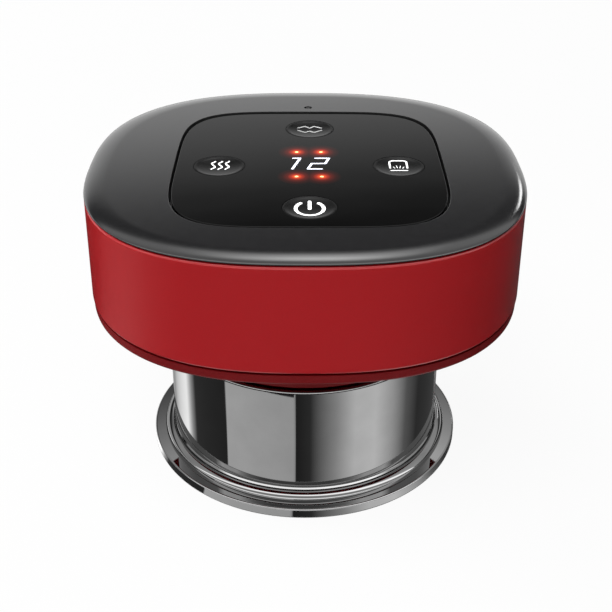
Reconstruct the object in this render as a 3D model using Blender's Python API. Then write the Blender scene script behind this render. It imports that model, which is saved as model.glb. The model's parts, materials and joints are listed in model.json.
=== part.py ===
"""Electric cupping massager: a rounded-square battery head that stands on a removable round suction cup.

Metres, +Z up. The origin is the middle of the cup's flat rim, and -Y is the side with the power key.
"""

import math

import bmesh
import bpy
from mathutils import Matrix

# Clearances that every fit shares
SEAT_GAP = 0.0003
KEY_CLEARANCE = 0.0002
CUT_OVERRUN = 0.002
MERGE_DISTANCE = 0.000001

# How finely round shapes are divided
BODY_STEPS = 40
CUP_STEPS = 48
RING_STEPS = 32
KEY_STEPS = 20
SMALL_STEPS = 12
SMOOTH_ANGLE = math.radians(32)
ROUND_PROFILE_SHARE = 0.5

# Suction cup
CUP_HEIGHT = 0.0258
CUP_WALL_RADIUS = 0.02705
CUP_SHOULDER = 0.0005
CUP_WALL = 0.00275
CUP_BORE_DRAFT = 0.0007
CUP_BORE_CHAMFER = 0.0005
CUP_LIP_ROUND = 0.0007
CUP_RIM_WIDTH = 0.00425
CUP_RIM_SIDE = 0.0017
CUP_RIM_ROUND = 0.0004
CUP_FLANGE_TOP = 0.0021
CUP_BEAD_RADIUS = 0.00085
CUP_BEAD_FROM_WALL = 0.00105
CUP_BEAD_Z = 0.0024
CUP_FOOT_Z = 0.0042
CUP_FOOT_GROOVE = 0.00025

# Base under the red shell
NECK_IN_CUP = 0.00065
NECK_HEIGHT = 0.0101
NECK_EDGE = 0.0003
NECK_WALL = 0.0022
PLATE_STEP = 0.0002
PLATE_THICKNESS = 0.0018
PLATE_EDGE = 0.0004
LIP_HEIGHT = 0.0022
LIP_THICKNESS = 0.0012
SPIGOT_IN_BORE = 0.0006
SPIGOT_LENGTH = 0.0037
SPIGOT_EDGE = 0.0004
SPIGOT_WALL = 0.0022
RECESS_DEPTH = 0.0036
FLOOR_THICKNESS = 0.0024
AIR_HOLE_RADIUS = 0.0030

# Seal ring and its groove
SEAL_TUBE_RADIUS = 0.00085
SEAL_SQUEEZE_GAP = 0.0002
GROOVE_HEIGHT = 0.0023

# Red shell
SHELL_HALF_BOTTOM = 0.0404
SHELL_TAPER = 0.0004
SHELL_SQUARENESS_BOTTOM = 2.45
SHELL_SQUARENESS_TOP = 2.6
SHELL_HEIGHT = 0.0198
SHELL_WALL = 0.0020
SHELL_EDGE = 0.0005
POST_RADIUS = 0.0032
POST_INTO_WALL = 0.0009
POST_HEIGHT = 0.0115
POST_BOTTOM_GAP = 0.0006

# Top ring round the panel
BEZEL_HEIGHT = 0.0008
BEZEL_EDGE_WIDTH = 0.0040
BEZEL_EDGE_HEIGHT = 0.0007
SKIRT_DEPTH = 0.0028
SKIRT_THICKNESS = 0.0015
LEDGE_WIDTH = 0.0012
LEDGE_THICKNESS = 0.0012
PINHOLE_RADIUS = 0.0008
PINHOLE_FROM_PANEL = 0.0035

# Panel with its four keys
PANEL_HALF_X = 0.0245
PANEL_HALF_Y = 0.0267
PANEL_X = 0.0007
PANEL_Y = -0.0009
PANEL_SQUARENESS = 4.45
PANEL_THICKNESS = 0.0016
PANEL_BELOW_BEZEL = 0.0001
PANEL_EDGE = 0.0002
KEY_RADIUS = 0.0046
KEY_FROM_SIDE = 0.0079
KEY_FROM_END = 0.0077
KEY_DISH_DEPTH = 0.0005
KEY_RIM_WIDTH = 0.0004
KEY_RIM_DROP = 0.0001
KEY_FLANGE_WIDTH = 0.0010
KEY_FLANGE_THICKNESS = 0.0010
KEY_STEM_RADIUS = 0.0015
KEY_TRAVEL = 0.0004
KEY_TRAVEL_MARGIN = 0.0001

# Control board and what it carries
BOARD_IN_SHELL = 0.0030
BOARD_SQUARENESS = 3.0
BOARD_THICKNESS = 0.0016
BOARD_BELOW_PANEL = 0.0035
SWITCH_WIDTH = 0.0034
SWITCH_HEIGHT = 0.0006
SWITCH_DOME_RADIUS = 0.0010
SWITCH_DOME_HEIGHT = 0.0003
CHIP_WIDTH = 0.0060
CHIP_HEIGHT = 0.0010
CHIP_X = 0.0105
CHIP_Y = -0.0105
CHIP_EDGE = 0.0001
BUZZER_RADIUS = 0.0045
BUZZER_HEIGHT = 0.0026
BUZZER_HOLE = 0.0008
BUZZER_FROM_SIDE = 0.0125
BUZZER_FROM_FRONT = 0.0165

# Display, its mask and the lights round it
DISPLAY_WIDTH = 0.0086
DISPLAY_LENGTH = 0.0066
DISPLAY_HEIGHT = 0.0018
LIGHT_X = 0.0023
LIGHT_Y = 0.00585
LIGHT_WIDTH = 0.0016
LIGHT_LENGTH = 0.0008
LIGHT_HEIGHT = 0.0006
MASK_BORDER = 0.0016

# Light pipe under the pinhole
PIPE_RADIUS = 0.0005
PIPE_FLANGE_RADIUS = 0.0014
PIPE_FLANGE_HEIGHT = 0.0010
PIPE_TOP_RECESS = 0.0001

# Charging socket in the back wall
SOCKET_WIDTH = 0.00894
SOCKET_HEIGHT = 0.00326
SOCKET_LENGTH = 0.0073
SOCKET_WALL = 0.0003
SOCKET_DEPTH = 0.0056
SOCKET_TONGUE_WIDTH = 0.0067
SOCKET_TONGUE_HEIGHT = 0.0007
SOCKET_TONGUE_LENGTH = 0.0045
SOCKET_SET_BACK = 0.0006

# Battery
BATTERY_FROM_POST = 0.0041
BATTERY_HEIGHT = 0.0090
BATTERY_EDGE = 0.0015
BATTERY_FROM_LIP = 0.0044
BATTERY_FROM_PUMP = 0.0040

# Pump, with its shaft along X
PUMP_AXIS_Y = -0.0020
MOTOR_RADIUS = 0.0095
MOTOR_FROM_NECK = 0.0024
MOTOR_EDGE = 0.0010
SLEEVE_THICKNESS = 0.0012
SLEEVE_SHORTER = 0.0045
BEARING_DEPTH = 0.0050
SHAFT_RADIUS = 0.0010
SHAFT_CLEARANCE = 0.0003
PUMP_LEFT = -0.0050
PUMP_LENGTH = 0.0200
PUMP_WIDTH = 0.0210
PUMP_HEIGHT = 0.0165
PUMP_EDGE = 0.0010
CRANK_POCKET_RADIUS = 0.0065
CRANK_POCKET_DEPTH = 0.0100
CRANK_RADIUS = 0.0038
CRANK_OFFSET = 0.0012
CRANK_LENGTH = 0.0050
CRANK_FROM_FACE = 0.0015
DIAPHRAGM_RADIUS = 0.0080
DIAPHRAGM_THICKNESS = 0.0008
PUMP_CAP_HEIGHT = 0.0026
INLET_RADIUS = 0.0012
INLET_LENGTH = 0.0021
INLET_COLLAR_HEIGHT = 0.0019

# Release valve, with its plunger along Z
VALVE_WIDTH = 0.0130
VALVE_HEIGHT = 0.0090
VALVE_FROM_LIP = 0.0039
VALVE_EDGE = 0.0008
PLUNGER_RADIUS = 0.0018
PLUNGER_IN_VALVE = 0.0070
PLUNGER_CAP_RADIUS = 0.0032
PLUNGER_CAP_HEIGHT = 0.0008
PLUNGER_TRAVEL = 0.0012
PLUNGER_END_ROOM = 0.0003
SPRING_HEIGHT = 0.0034
SPRING_RADIUS = 0.0025
SPRING_WIRE_RADIUS = 0.00022
SPRING_TURNS = 4
SPRING_POINTS_PER_TURN = 10

# Hose between the pump and the valve
BARB_RADIUS = 0.0010
BARB_REACH_SHARE = 0.35
HOSE_WALL = 0.0008
HOSE_Z_SHARE = 0.55

# Warming lamps that look into the cup
LAMP_BOARD_THICKNESS = 0.0011
LAMP_COUNT = 6
LAMP_FROM_SPIGOT = 0.0085
LAMP_WIDTH = 0.0035
LAMP_HEIGHT = 0.0005
LAMP_HOLE_RADIUS = 0.0040
LENS_THICKNESS = 0.0009
LENS_HOLE_RADIUS = 0.0050

# Air filter in the middle of the lens
FILTER_THICKNESS = 0.0010
FILTER_CAP_HEIGHT = 0.0024
FILTER_CAP_FLOOR = 0.0008
FILTER_CAP_DROP = 0.0006
FILTER_CAP_WALL = 0.0009
FILTER_HOLE_RADIUS = 0.0007
FILTER_HOLE_COUNT = 5
FILTER_HOLE_CIRCLE = 0.0023

# Screws
BASE_SCREW_RADIUS = 0.0011
BASE_SCREW_HEAD_RADIUS = 0.0022
BASE_SCREW_HEAD_HEIGHT = 0.0010
BASE_SCREW_GRIP = 0.0070
BOARD_SCREW_RADIUS = 0.0009
BOARD_SCREW_HEAD_RADIUS = 0.0020
BOARD_SCREW_HEAD_HEIGHT = 0.0010
BOARD_SCREW_FROM_EDGE = 0.0050
BOARD_SCREW_GRIP = 0.0013
BOARD_POST_RADIUS = 0.0024
SCREW_CLEARANCE = 0.0003
CROSS_WIDTH_SHARE = 0.3
CROSS_LENGTH_SHARE = 1.2
CROSS_DEPTH_SHARE = 0.5

# Widths and places that follow from the sizes above
CUP_BORE_TOP = CUP_WALL_RADIUS - CUP_WALL
CUP_BORE_BOTTOM = CUP_BORE_TOP + CUP_BORE_DRAFT
CUP_RIM_RADIUS = CUP_WALL_RADIUS + CUP_RIM_WIDTH
CUP_BEAD_MIDDLE = CUP_WALL_RADIUS + CUP_BEAD_FROM_WALL
NECK_RADIUS = CUP_WALL_RADIUS - NECK_IN_CUP
SPIGOT_RADIUS = CUP_BORE_TOP - SPIGOT_IN_BORE
RECESS_RADIUS = SPIGOT_RADIUS - SPIGOT_WALL
LAMP_CIRCLE = RECESS_RADIUS - LAMP_FROM_SPIGOT
SHELL_HALF_TOP = SHELL_HALF_BOTTOM - SHELL_TAPER
SHELL_INNER_BOTTOM = SHELL_HALF_BOTTOM - SHELL_WALL
SHELL_INNER_TOP = SHELL_HALF_TOP - SHELL_WALL
PLATE_HALF = SHELL_HALF_BOTTOM - PLATE_STEP
LIP_OUTER = SHELL_INNER_BOTTOM - SEAT_GAP
LIP_INNER = LIP_OUTER - LIP_THICKNESS
CAVITY_RADIUS = NECK_RADIUS - NECK_WALL
POST_FROM_MIDDLE = SHELL_INNER_BOTTOM * 2 ** (1 / 2 - 1 / SHELL_SQUARENESS_BOTTOM) - POST_RADIUS + POST_INTO_WALL
KEY_SPACING_X = PANEL_HALF_X - KEY_FROM_SIDE
KEY_SPACING_Y = PANEL_HALF_Y - KEY_FROM_END
KEY_FLANGE_RADIUS = KEY_RADIUS + KEY_FLANGE_WIDTH
PINHOLE_Y = PANEL_Y + PANEL_HALF_Y + PINHOLE_FROM_PANEL
BOARD_HALF = SHELL_INNER_TOP - BOARD_IN_SHELL
BOARD_SCREW_X = BOARD_HALF - BOARD_SCREW_FROM_EDGE
BUZZER_X = BUZZER_FROM_SIDE - BOARD_HALF
BUZZER_Y = BUZZER_FROM_FRONT - BOARD_HALF
MOTOR_LENGTH = CAVITY_RADIUS - MOTOR_FROM_NECK + PUMP_LEFT - SEAT_GAP
SLEEVE_LENGTH = MOTOR_LENGTH - SLEEVE_SHORTER
PUMP_FRONT = PUMP_AXIS_Y - PUMP_WIDTH / 2
PUMP_BACK = PUMP_AXIS_Y + PUMP_WIDTH / 2
BATTERY_WIDTH = 2 * (POST_FROM_MIDDLE / math.sqrt(2) - POST_RADIUS - BATTERY_FROM_POST)
BATTERY_FRONT = PUMP_BACK + BATTERY_FROM_PUMP
BATTERY_LENGTH = LIP_INNER - BATTERY_FROM_LIP - BATTERY_FRONT
BATTERY_Y = BATTERY_FRONT + BATTERY_LENGTH / 2
VALVE_Y = VALVE_FROM_LIP + VALVE_WIDTH / 2 - LIP_INNER
VALVE_BACK = VALVE_Y + VALVE_WIDTH / 2
BARB_LENGTH = BARB_REACH_SHARE * (PUMP_FRONT - VALVE_BACK)
VALVE_BORE_DEPTH = PLUNGER_IN_VALVE + PLUNGER_TRAVEL + PLUNGER_END_ROOM

# Heights that follow from the sizes above
NECK_BOTTOM = CUP_HEIGHT + SEAT_GAP
PLATE_BOTTOM = NECK_BOTTOM + NECK_HEIGHT
PLATE_TOP = PLATE_BOTTOM + PLATE_THICKNESS
SPIGOT_BOTTOM = NECK_BOTTOM - SPIGOT_LENGTH
RECESS_CEILING = SPIGOT_BOTTOM + RECESS_DEPTH
CAVITY_FLOOR = RECESS_CEILING + FLOOR_THICKNESS
SHELL_BOTTOM = PLATE_TOP + SEAT_GAP
SHELL_TOP = SHELL_BOTTOM + SHELL_HEIGHT
BEZEL_BOTTOM = SHELL_TOP + SEAT_GAP
BEZEL_TOP = BEZEL_BOTTOM + BEZEL_HEIGHT
PANEL_TOP = BEZEL_TOP - PANEL_BELOW_BEZEL
PANEL_BOTTOM = PANEL_TOP - PANEL_THICKNESS
LEDGE_TOP = PANEL_BOTTOM - SEAT_GAP
LEDGE_BOTTOM = LEDGE_TOP - LEDGE_THICKNESS
BOARD_TOP = PANEL_BOTTOM - BOARD_BELOW_PANEL
BOARD_BOTTOM = BOARD_TOP - BOARD_THICKNESS
ON_BOARD = BOARD_TOP + SEAT_GAP
UNDER_BOARD = BOARD_BOTTOM - SEAT_GAP
ON_CAVITY_FLOOR = CAVITY_FLOOR + SEAT_GAP
ON_PLATE = PLATE_TOP + SEAT_GAP
MOTOR_AXIS_Z = ON_CAVITY_FLOOR + SLEEVE_THICKNESS + SEAT_GAP + MOTOR_RADIUS
KEY_PLACES = {
    "mode_key": (PANEL_X, PANEL_Y + KEY_SPACING_Y),
    "heat_key": (PANEL_X - KEY_SPACING_X, PANEL_Y),
    "suction_key": (PANEL_X + KEY_SPACING_X, PANEL_Y),
    "power_key": (PANEL_X, PANEL_Y - KEY_SPACING_Y),
}
CORNERS = ((-1, -1), (1, -1), (1, 1), (-1, 1))
QUARTER_TURN = math.radians(90)

# Colour, roughness and metallic share of each finish
FINISHES = {
    "red_paint": ("9A2325", 0.30, 0.0),
    "dark_red_abs": ("641616", 0.40, 0.0),
    "dark_grey_satin": ("3A3A3A", 0.42, 0.3),
    "black_gloss": ("0B0B0B", 0.08, 0.0),
    "key_gloss": ("141414", 0.15, 0.0),
    "black_chrome": ("5A5B5E", 0.06, 1.0),
    "black_rubber": ("161616", 0.75, 0.0),
    "circuit_green": ("1E5B3A", 0.50, 0.0),
    "black_plastic": ("1B1B1B", 0.55, 0.0),
    "white_plastic": ("E8E8E4", 0.45, 0.0),
    "clear_plastic": ("E3EAEE", 0.12, 0.0),
    "red_light": ("FF2A1E", 0.30, 0.0),
    "steel": ("B9BBBD", 0.28, 1.0),
    "battery_wrap": ("3C6AA8", 0.40, 0.0),
    "silicone": ("D9D5CC", 0.60, 0.0),
    "filter_felt": ("EDEBE3", 0.95, 0.0),
}


def linear(channel):
    share = channel / 255
    return share / 12.92 if share <= 0.04045 else ((share + 0.055) / 1.055) ** 2.4


def finish(name):
    """The Principled material of one finish, made once."""
    material = bpy.data.materials.get(name)
    if material:
        return material
    code, roughness, metallic = FINISHES[name]
    red, green, blue = (linear(int(code[i : i + 2], 16)) for i in (0, 2, 4))
    material = bpy.data.materials.new(name)
    material.use_nodes = True
    shader = material.node_tree.nodes["Principled BSDF"]
    shader.inputs["Base Color"].default_value = (red, green, blue, 1)
    shader.inputs["Roughness"].default_value = roughness
    shader.inputs["Metallic"].default_value = metallic
    return material


def add_object(name, bm, finish_name=None, parent=None):
    """Put a bmesh in the scene as one smooth-shaded object."""
    bmesh.ops.remove_doubles(bm, verts=bm.verts, dist=MERGE_DISTANCE)
    bmesh.ops.recalc_face_normals(bm, faces=bm.faces)
    mesh = bpy.data.meshes.new(name)
    bm.to_mesh(mesh)
    bm.free()
    mesh.shade_smooth()
    mesh.set_sharp_from_angle(angle=SMOOTH_ANGLE)
    part = bpy.data.objects.new(name, mesh)
    bpy.context.collection.objects.link(part)
    if finish_name:
        mesh.materials.append(finish(finish_name))
    if parent:
        part.parent = parent
    return part


def boolean(part, tool, operation):
    """Cut the tool out of the part, or join it on, and keep the tool as a wire guide."""
    step = part.modifiers.new(tool.name, "BOOLEAN")
    step.operation = operation
    step.solver = "EXACT"
    step.object = tool
    tool.display_type = "WIRE"
    tool.hide_render = True
    tool.parent = part.parent


def cut(part, tool):
    boolean(part, tool, "DIFFERENCE")


def join(part, tool):
    boolean(part, tool, "UNION")


def superellipse(half_x, half_y, squareness, z, middle=(0, 0)):
    """Points of a rounded square: squareness 2 is a circle, and more is squarer."""
    points = []
    for step in range(BODY_STEPS):
        angle = 2 * math.pi * step / BODY_STEPS
        across, along = math.cos(angle), math.sin(angle)
        x = math.copysign(abs(across) ** (2 / squareness), across) * half_x
        y = math.copysign(abs(along) ** (2 / squareness), along) * half_y
        points.append((middle[0] + x, middle[1] + y, z))
    return points


def square_ring(half, squareness, z):
    return superellipse(half, half, squareness, z)


def round_ring(radius, z):
    return superellipse(radius, radius, 2, z)


def panel_ring(inset, z):
    """The panel's outline, drawn in by the inset."""
    half_x, half_y = PANEL_HALF_X - inset, PANEL_HALF_Y - inset
    return superellipse(half_x, half_y, PANEL_SQUARENESS, z, (PANEL_X, PANEL_Y))


def loft(rings, hollow=False):
    """A closed skin through the rings in turn: its ends are capped, or joined where the piece is hollow."""
    bm = bmesh.new()
    loops = [[bm.verts.new(point) for point in ring] for ring in rings]
    pairs = list(zip(loops, loops[1:]))
    if hollow:
        pairs.append((loops[-1], loops[0]))
    for lower, upper in pairs:
        for i in range(len(lower)):
            bm.faces.new((lower[i - 1], lower[i], upper[i], upper[i - 1]))
    if not hollow:
        bm.faces.new(loops[0])
        bm.faces.new(loops[-1])
    return bm


def turned(profile, steps):
    """A closed outline of (radius, height) turned once round Z."""
    bm = bmesh.new()
    verts = [bm.verts.new((radius, 0, z)) for radius, z in profile]
    edges = [bm.edges.new((verts[i], verts[i + 1])) for i in range(len(verts) - 1)]
    if profile[0][0] > 0:
        edges.append(bm.edges.new((verts[-1], verts[0])))
    bmesh.ops.spin(
        bm,
        geom=verts + edges,
        cent=(0, 0, 0),
        axis=(0, 0, 1),
        angle=2 * math.pi,
        steps=steps,
        use_merge=True,
    )
    return bm


def rod(radius, bottom, top, steps=SMALL_STEPS):
    return turned([(0, bottom), (radius, bottom), (radius, top), (0, top)], steps)


def pipe(radius, bore, bottom, top, steps=SMALL_STEPS):
    return turned([(bore, bottom), (radius, bottom), (radius, top), (bore, top)], steps)


def block(width, length, height, edge=0, segments=2):
    """A box that stands on its middle, with rounded edges where an edge is given."""
    bm = bmesh.new()
    bmesh.ops.create_cube(bm, size=1)
    bmesh.ops.scale(bm, vec=(width, length, height), verts=bm.verts)
    bmesh.ops.translate(bm, vec=(0, 0, height / 2), verts=bm.verts)
    if edge:
        bmesh.ops.bevel(
            bm,
            geom=bm.edges[:],
            offset=edge,
            offset_type="OFFSET",
            segments=segments,
            profile=ROUND_PROFILE_SHARE,
            affect="EDGES",
            material=-1,
        )
    return bm


def stadium(width, height, length, steps=SMALL_STEPS):
    """A bar of flat-sided oval section along +Y, centred on the section."""
    bm = bmesh.new()
    radius = height / 2
    side = width / 2 - radius
    outline = []
    for end in (1, -1):
        for step in range(steps // 2 + 1):
            angle = math.pi * step / (steps // 2) - QUARTER_TURN
            outline.append((end * (side + radius * math.cos(angle)), end * radius * math.sin(angle)))
    verts = [bm.verts.new((x, 0, z)) for x, z in outline]
    face = bm.faces.new(verts)
    grown = bmesh.ops.extrude_face_region(bm, geom=[face])
    moved = [item for item in grown["geom"] if isinstance(item, bmesh.types.BMVert)]
    bmesh.ops.translate(bm, vec=(0, length, 0), verts=moved)
    return bm


def place(bm, offset, turn=0, axis="Z"):
    """Turn a bmesh about its own origin, then move it."""
    bmesh.ops.rotate(bm, cent=(0, 0, 0), matrix=Matrix.Rotation(turn, 3, axis), verts=bm.verts)
    bmesh.ops.translate(bm, vec=offset, verts=bm.verts)
    return bm


def pivot(name, location):
    """An empty that stands on a joint's axis."""
    empty = bpy.data.objects.new(name, None)
    empty.location = location
    bpy.context.collection.objects.link(empty)
    return empty


def on_circle(count, radius, first=0):
    for step in range(count):
        angle = first + 2 * math.pi * step / count
        yield radius * math.cos(angle), radius * math.sin(angle)


def post_places():
    diagonal = POST_FROM_MIDDLE / math.sqrt(2)
    return [(x * diagonal, y * diagonal) for x, y in CORNERS]


def suction_cup():
    """The removable cup: rim flange, round bead, straight wall and an open bore."""
    profile = [
        (CUP_BORE_BOTTOM + CUP_LIP_ROUND, 0),
        (CUP_RIM_RADIUS - CUP_RIM_ROUND, 0),
        (CUP_RIM_RADIUS, CUP_RIM_ROUND),
        (CUP_RIM_RADIUS, CUP_RIM_SIDE),
        (CUP_RIM_RADIUS - CUP_RIM_ROUND, CUP_FLANGE_TOP),
    ]
    for step in range(6):
        angle = math.radians(-10) + step * math.radians(200) / 5
        radius = CUP_BEAD_MIDDLE + CUP_BEAD_RADIUS * math.cos(angle)
        profile.append((radius, CUP_BEAD_Z + CUP_BEAD_RADIUS * math.sin(angle)))
    profile.append((CUP_WALL_RADIUS - CUP_FOOT_GROOVE, CUP_FOOT_Z - CUP_FOOT_GROOVE))
    profile.append((CUP_WALL_RADIUS, CUP_FOOT_Z))
    for step in range(4):
        angle = step * QUARTER_TURN / 3
        radius = CUP_WALL_RADIUS - CUP_SHOULDER + CUP_SHOULDER * math.cos(angle)
        profile.append((radius, CUP_HEIGHT - CUP_SHOULDER + CUP_SHOULDER * math.sin(angle)))
    profile.append((CUP_BORE_TOP + CUP_BORE_CHAMFER, CUP_HEIGHT))
    profile.append((CUP_BORE_TOP, CUP_HEIGHT - CUP_BORE_CHAMFER))
    for step in range(2):
        angle = step * QUARTER_TURN / 2
        radius = CUP_BORE_BOTTOM + CUP_LIP_ROUND - CUP_LIP_ROUND * math.cos(angle)
        profile.append((radius, CUP_LIP_ROUND - CUP_LIP_ROUND * math.sin(angle)))
    return add_object("suction_cup", turned(profile, CUP_STEPS), "black_chrome")


def seal_groove_middle():
    return SPIGOT_BOTTOM + RECESS_DEPTH - FLOOR_THICKNESS / 2 - GROOVE_HEIGHT / 4


def base_cover(head):
    """The cover under the shell: spigot with its groove, neck ring, step plate and locating lip."""
    seal_radius = CUP_BORE_TOP - SEAL_SQUEEZE_GAP - SEAL_TUBE_RADIUS
    groove_radius = seal_radius - SEAL_TUBE_RADIUS - SEAT_GAP
    groove_bottom = seal_groove_middle() - GROOVE_HEIGHT / 2
    groove_top = seal_groove_middle() + GROOVE_HEIGHT / 2
    lip_top = PLATE_TOP + LIP_HEIGHT
    rings = [
        round_ring(RECESS_RADIUS, SPIGOT_BOTTOM),
        round_ring(SPIGOT_RADIUS - SPIGOT_EDGE, SPIGOT_BOTTOM),
        round_ring(SPIGOT_RADIUS, SPIGOT_BOTTOM + SPIGOT_EDGE),
        round_ring(SPIGOT_RADIUS, groove_bottom),
        round_ring(groove_radius, groove_bottom),
        round_ring(groove_radius, groove_top),
        round_ring(SPIGOT_RADIUS, groove_top),
        round_ring(SPIGOT_RADIUS, NECK_BOTTOM),
        round_ring(NECK_RADIUS - NECK_EDGE, NECK_BOTTOM),
        round_ring(NECK_RADIUS, NECK_BOTTOM + NECK_EDGE),
        round_ring(NECK_RADIUS, PLATE_BOTTOM),
        square_ring(PLATE_HALF - PLATE_EDGE, SHELL_SQUARENESS_BOTTOM, PLATE_BOTTOM),
        square_ring(PLATE_HALF, SHELL_SQUARENESS_BOTTOM, PLATE_BOTTOM + PLATE_EDGE),
        square_ring(PLATE_HALF, SHELL_SQUARENESS_BOTTOM, PLATE_TOP),
        square_ring(LIP_OUTER, SHELL_SQUARENESS_BOTTOM, PLATE_TOP),
        square_ring(LIP_OUTER, SHELL_SQUARENESS_BOTTOM, lip_top),
        square_ring(LIP_INNER, SHELL_SQUARENESS_BOTTOM, lip_top),
        square_ring(LIP_INNER, SHELL_SQUARENESS_BOTTOM, PLATE_TOP),
        round_ring(CAVITY_RADIUS, PLATE_TOP),
        round_ring(CAVITY_RADIUS, CAVITY_FLOOR),
        round_ring(AIR_HOLE_RADIUS, CAVITY_FLOOR),
        round_ring(AIR_HOLE_RADIUS, RECESS_CEILING),
        round_ring(RECESS_RADIUS, RECESS_CEILING),
    ]
    part = add_object("base_cover", loft(rings, hollow=True), "dark_red_abs", head)
    shaft_hole = BASE_SCREW_RADIUS + SCREW_CLEARANCE
    head_hole = BASE_SCREW_HEAD_RADIUS + SCREW_CLEARANCE
    head_top = PLATE_BOTTOM + BASE_SCREW_HEAD_HEIGHT + SEAT_GAP
    for number, (x, y) in enumerate(post_places(), 1):
        gap = rod(POST_RADIUS + SEAT_GAP, ON_PLATE, lip_top + CUT_OVERRUN, KEY_STEPS)
        cut(part, add_object(f"lip_gap_{number}", place(gap, (x, y, 0))))
        profile = [
            (0, PLATE_BOTTOM - CUT_OVERRUN),
            (head_hole, PLATE_BOTTOM - CUT_OVERRUN),
            (head_hole, head_top),
            (shaft_hole, head_top),
            (shaft_hole, PLATE_TOP + CUT_OVERRUN),
            (0, PLATE_TOP + CUT_OVERRUN),
        ]
        hole = turned(profile, SMALL_STEPS)
        cut(part, add_object(f"base_screw_hole_{number}", place(hole, (x, y, 0))))
    return part


def seal_ring(head):
    """The ring in the spigot's groove that grips the cup's bore."""
    middle = CUP_BORE_TOP - SEAL_SQUEEZE_GAP - SEAL_TUBE_RADIUS
    profile = []
    for step in range(8):
        angle = 2 * math.pi * step / 8
        radius = middle + SEAL_TUBE_RADIUS * math.cos(angle)
        profile.append((radius, seal_groove_middle() + SEAL_TUBE_RADIUS * math.sin(angle)))
    return add_object("seal_ring", turned(profile, RING_STEPS), "black_rubber", head)


def socket_middle():
    return UNDER_BOARD - SOCKET_HEIGHT / 2


def shell_half_at(z):
    share = (z - SHELL_BOTTOM) / SHELL_HEIGHT
    return SHELL_HALF_BOTTOM - share * SHELL_TAPER


def body_shell(head):
    """The red wall: a rounded square that grows a little squarer and narrower towards the top."""
    rings = [
        square_ring(SHELL_INNER_BOTTOM, SHELL_SQUARENESS_BOTTOM, SHELL_BOTTOM),
        square_ring(SHELL_HALF_BOTTOM - SHELL_EDGE, SHELL_SQUARENESS_BOTTOM, SHELL_BOTTOM),
        square_ring(SHELL_HALF_BOTTOM, SHELL_SQUARENESS_BOTTOM, SHELL_BOTTOM + SHELL_EDGE),
        square_ring(SHELL_HALF_TOP, SHELL_SQUARENESS_TOP, SHELL_TOP - SHELL_EDGE),
        square_ring(SHELL_HALF_TOP - SHELL_EDGE, SHELL_SQUARENESS_TOP, SHELL_TOP),
        square_ring(SHELL_INNER_TOP, SHELL_SQUARENESS_TOP, SHELL_TOP),
    ]
    part = add_object("body_shell", loft(rings, hollow=True), "red_paint", head)
    post_bottom = PLATE_TOP + POST_BOTTOM_GAP
    hole_top = post_bottom + BASE_SCREW_GRIP + SEAT_GAP
    for number, (x, y) in enumerate(post_places(), 1):
        post = rod(POST_RADIUS, post_bottom, post_bottom + POST_HEIGHT, KEY_STEPS)
        join(part, add_object(f"post_{number}", place(post, (x, y, 0))))
        hole = rod(BASE_SCREW_RADIUS + SCREW_CLEARANCE, post_bottom - CUT_OVERRUN, hole_top)
        cut(part, add_object(f"post_hole_{number}", place(hole, (x, y, 0))))
    start = shell_half_at(socket_middle()) - SHELL_WALL - CUT_OVERRUN
    window = stadium(
        SOCKET_WIDTH + 2 * SEAT_GAP,
        SOCKET_HEIGHT + 2 * SEAT_GAP,
        SHELL_WALL + 2 * CUT_OVERRUN,
    )
    cut(part, add_object("socket_window", place(window, (0, start, socket_middle()))))
    return part


def top_bezel(head):
    """The satin ring on the shell: rounded edge, skirt inside the shell and a ledge for the panel."""
    skirt = SHELL_INNER_TOP - SEAT_GAP
    rings = [
        square_ring(skirt - SKIRT_THICKNESS, SHELL_SQUARENESS_TOP, SHELL_TOP - SKIRT_DEPTH),
        square_ring(skirt, SHELL_SQUARENESS_TOP, SHELL_TOP - SKIRT_DEPTH),
        square_ring(skirt, SHELL_SQUARENESS_TOP, BEZEL_BOTTOM),
    ]
    for step in range(5):
        angle = step * QUARTER_TURN / 4
        half = SHELL_HALF_TOP - BEZEL_EDGE_WIDTH * (1 - math.cos(angle))
        z = BEZEL_TOP - BEZEL_EDGE_HEIGHT * (1 - math.sin(angle))
        rings.append(square_ring(half, SHELL_SQUARENESS_TOP, z))
    rings.insert(3, square_ring(SHELL_HALF_TOP, SHELL_SQUARENESS_TOP, BEZEL_BOTTOM))
    for z, inset in ((BEZEL_TOP, 0), (LEDGE_TOP, 0), (LEDGE_TOP, LEDGE_WIDTH), (LEDGE_BOTTOM, LEDGE_WIDTH)):
        rings.append(panel_ring(inset - SEAT_GAP, z))
    rings.append(square_ring(skirt - SKIRT_THICKNESS, SHELL_SQUARENESS_TOP, LEDGE_BOTTOM))
    part = add_object("top_bezel", loft(rings, hollow=True), "dark_grey_satin", head)
    hole = rod(PINHOLE_RADIUS, LEDGE_BOTTOM - CUT_OVERRUN, BEZEL_TOP + CUT_OVERRUN)
    cut(part, add_object("pinhole", place(hole, (PANEL_X, PINHOLE_Y, 0))))
    for number, side in enumerate((-1, 1), 1):
        where = (side * BOARD_SCREW_X, 0, 0)
        post = rod(BOARD_POST_RADIUS, ON_BOARD, LEDGE_BOTTOM + LEDGE_THICKNESS / 2, KEY_STEPS)
        join(part, add_object(f"board_post_{number}", place(post, where)))
        hole_top = ON_BOARD + BOARD_SCREW_GRIP + SEAT_GAP
        hole = rod(BOARD_SCREW_RADIUS + SCREW_CLEARANCE, ON_BOARD - CUT_OVERRUN, hole_top)
        cut(part, add_object(f"board_post_hole_{number}", place(hole, where)))
    return part


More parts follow.
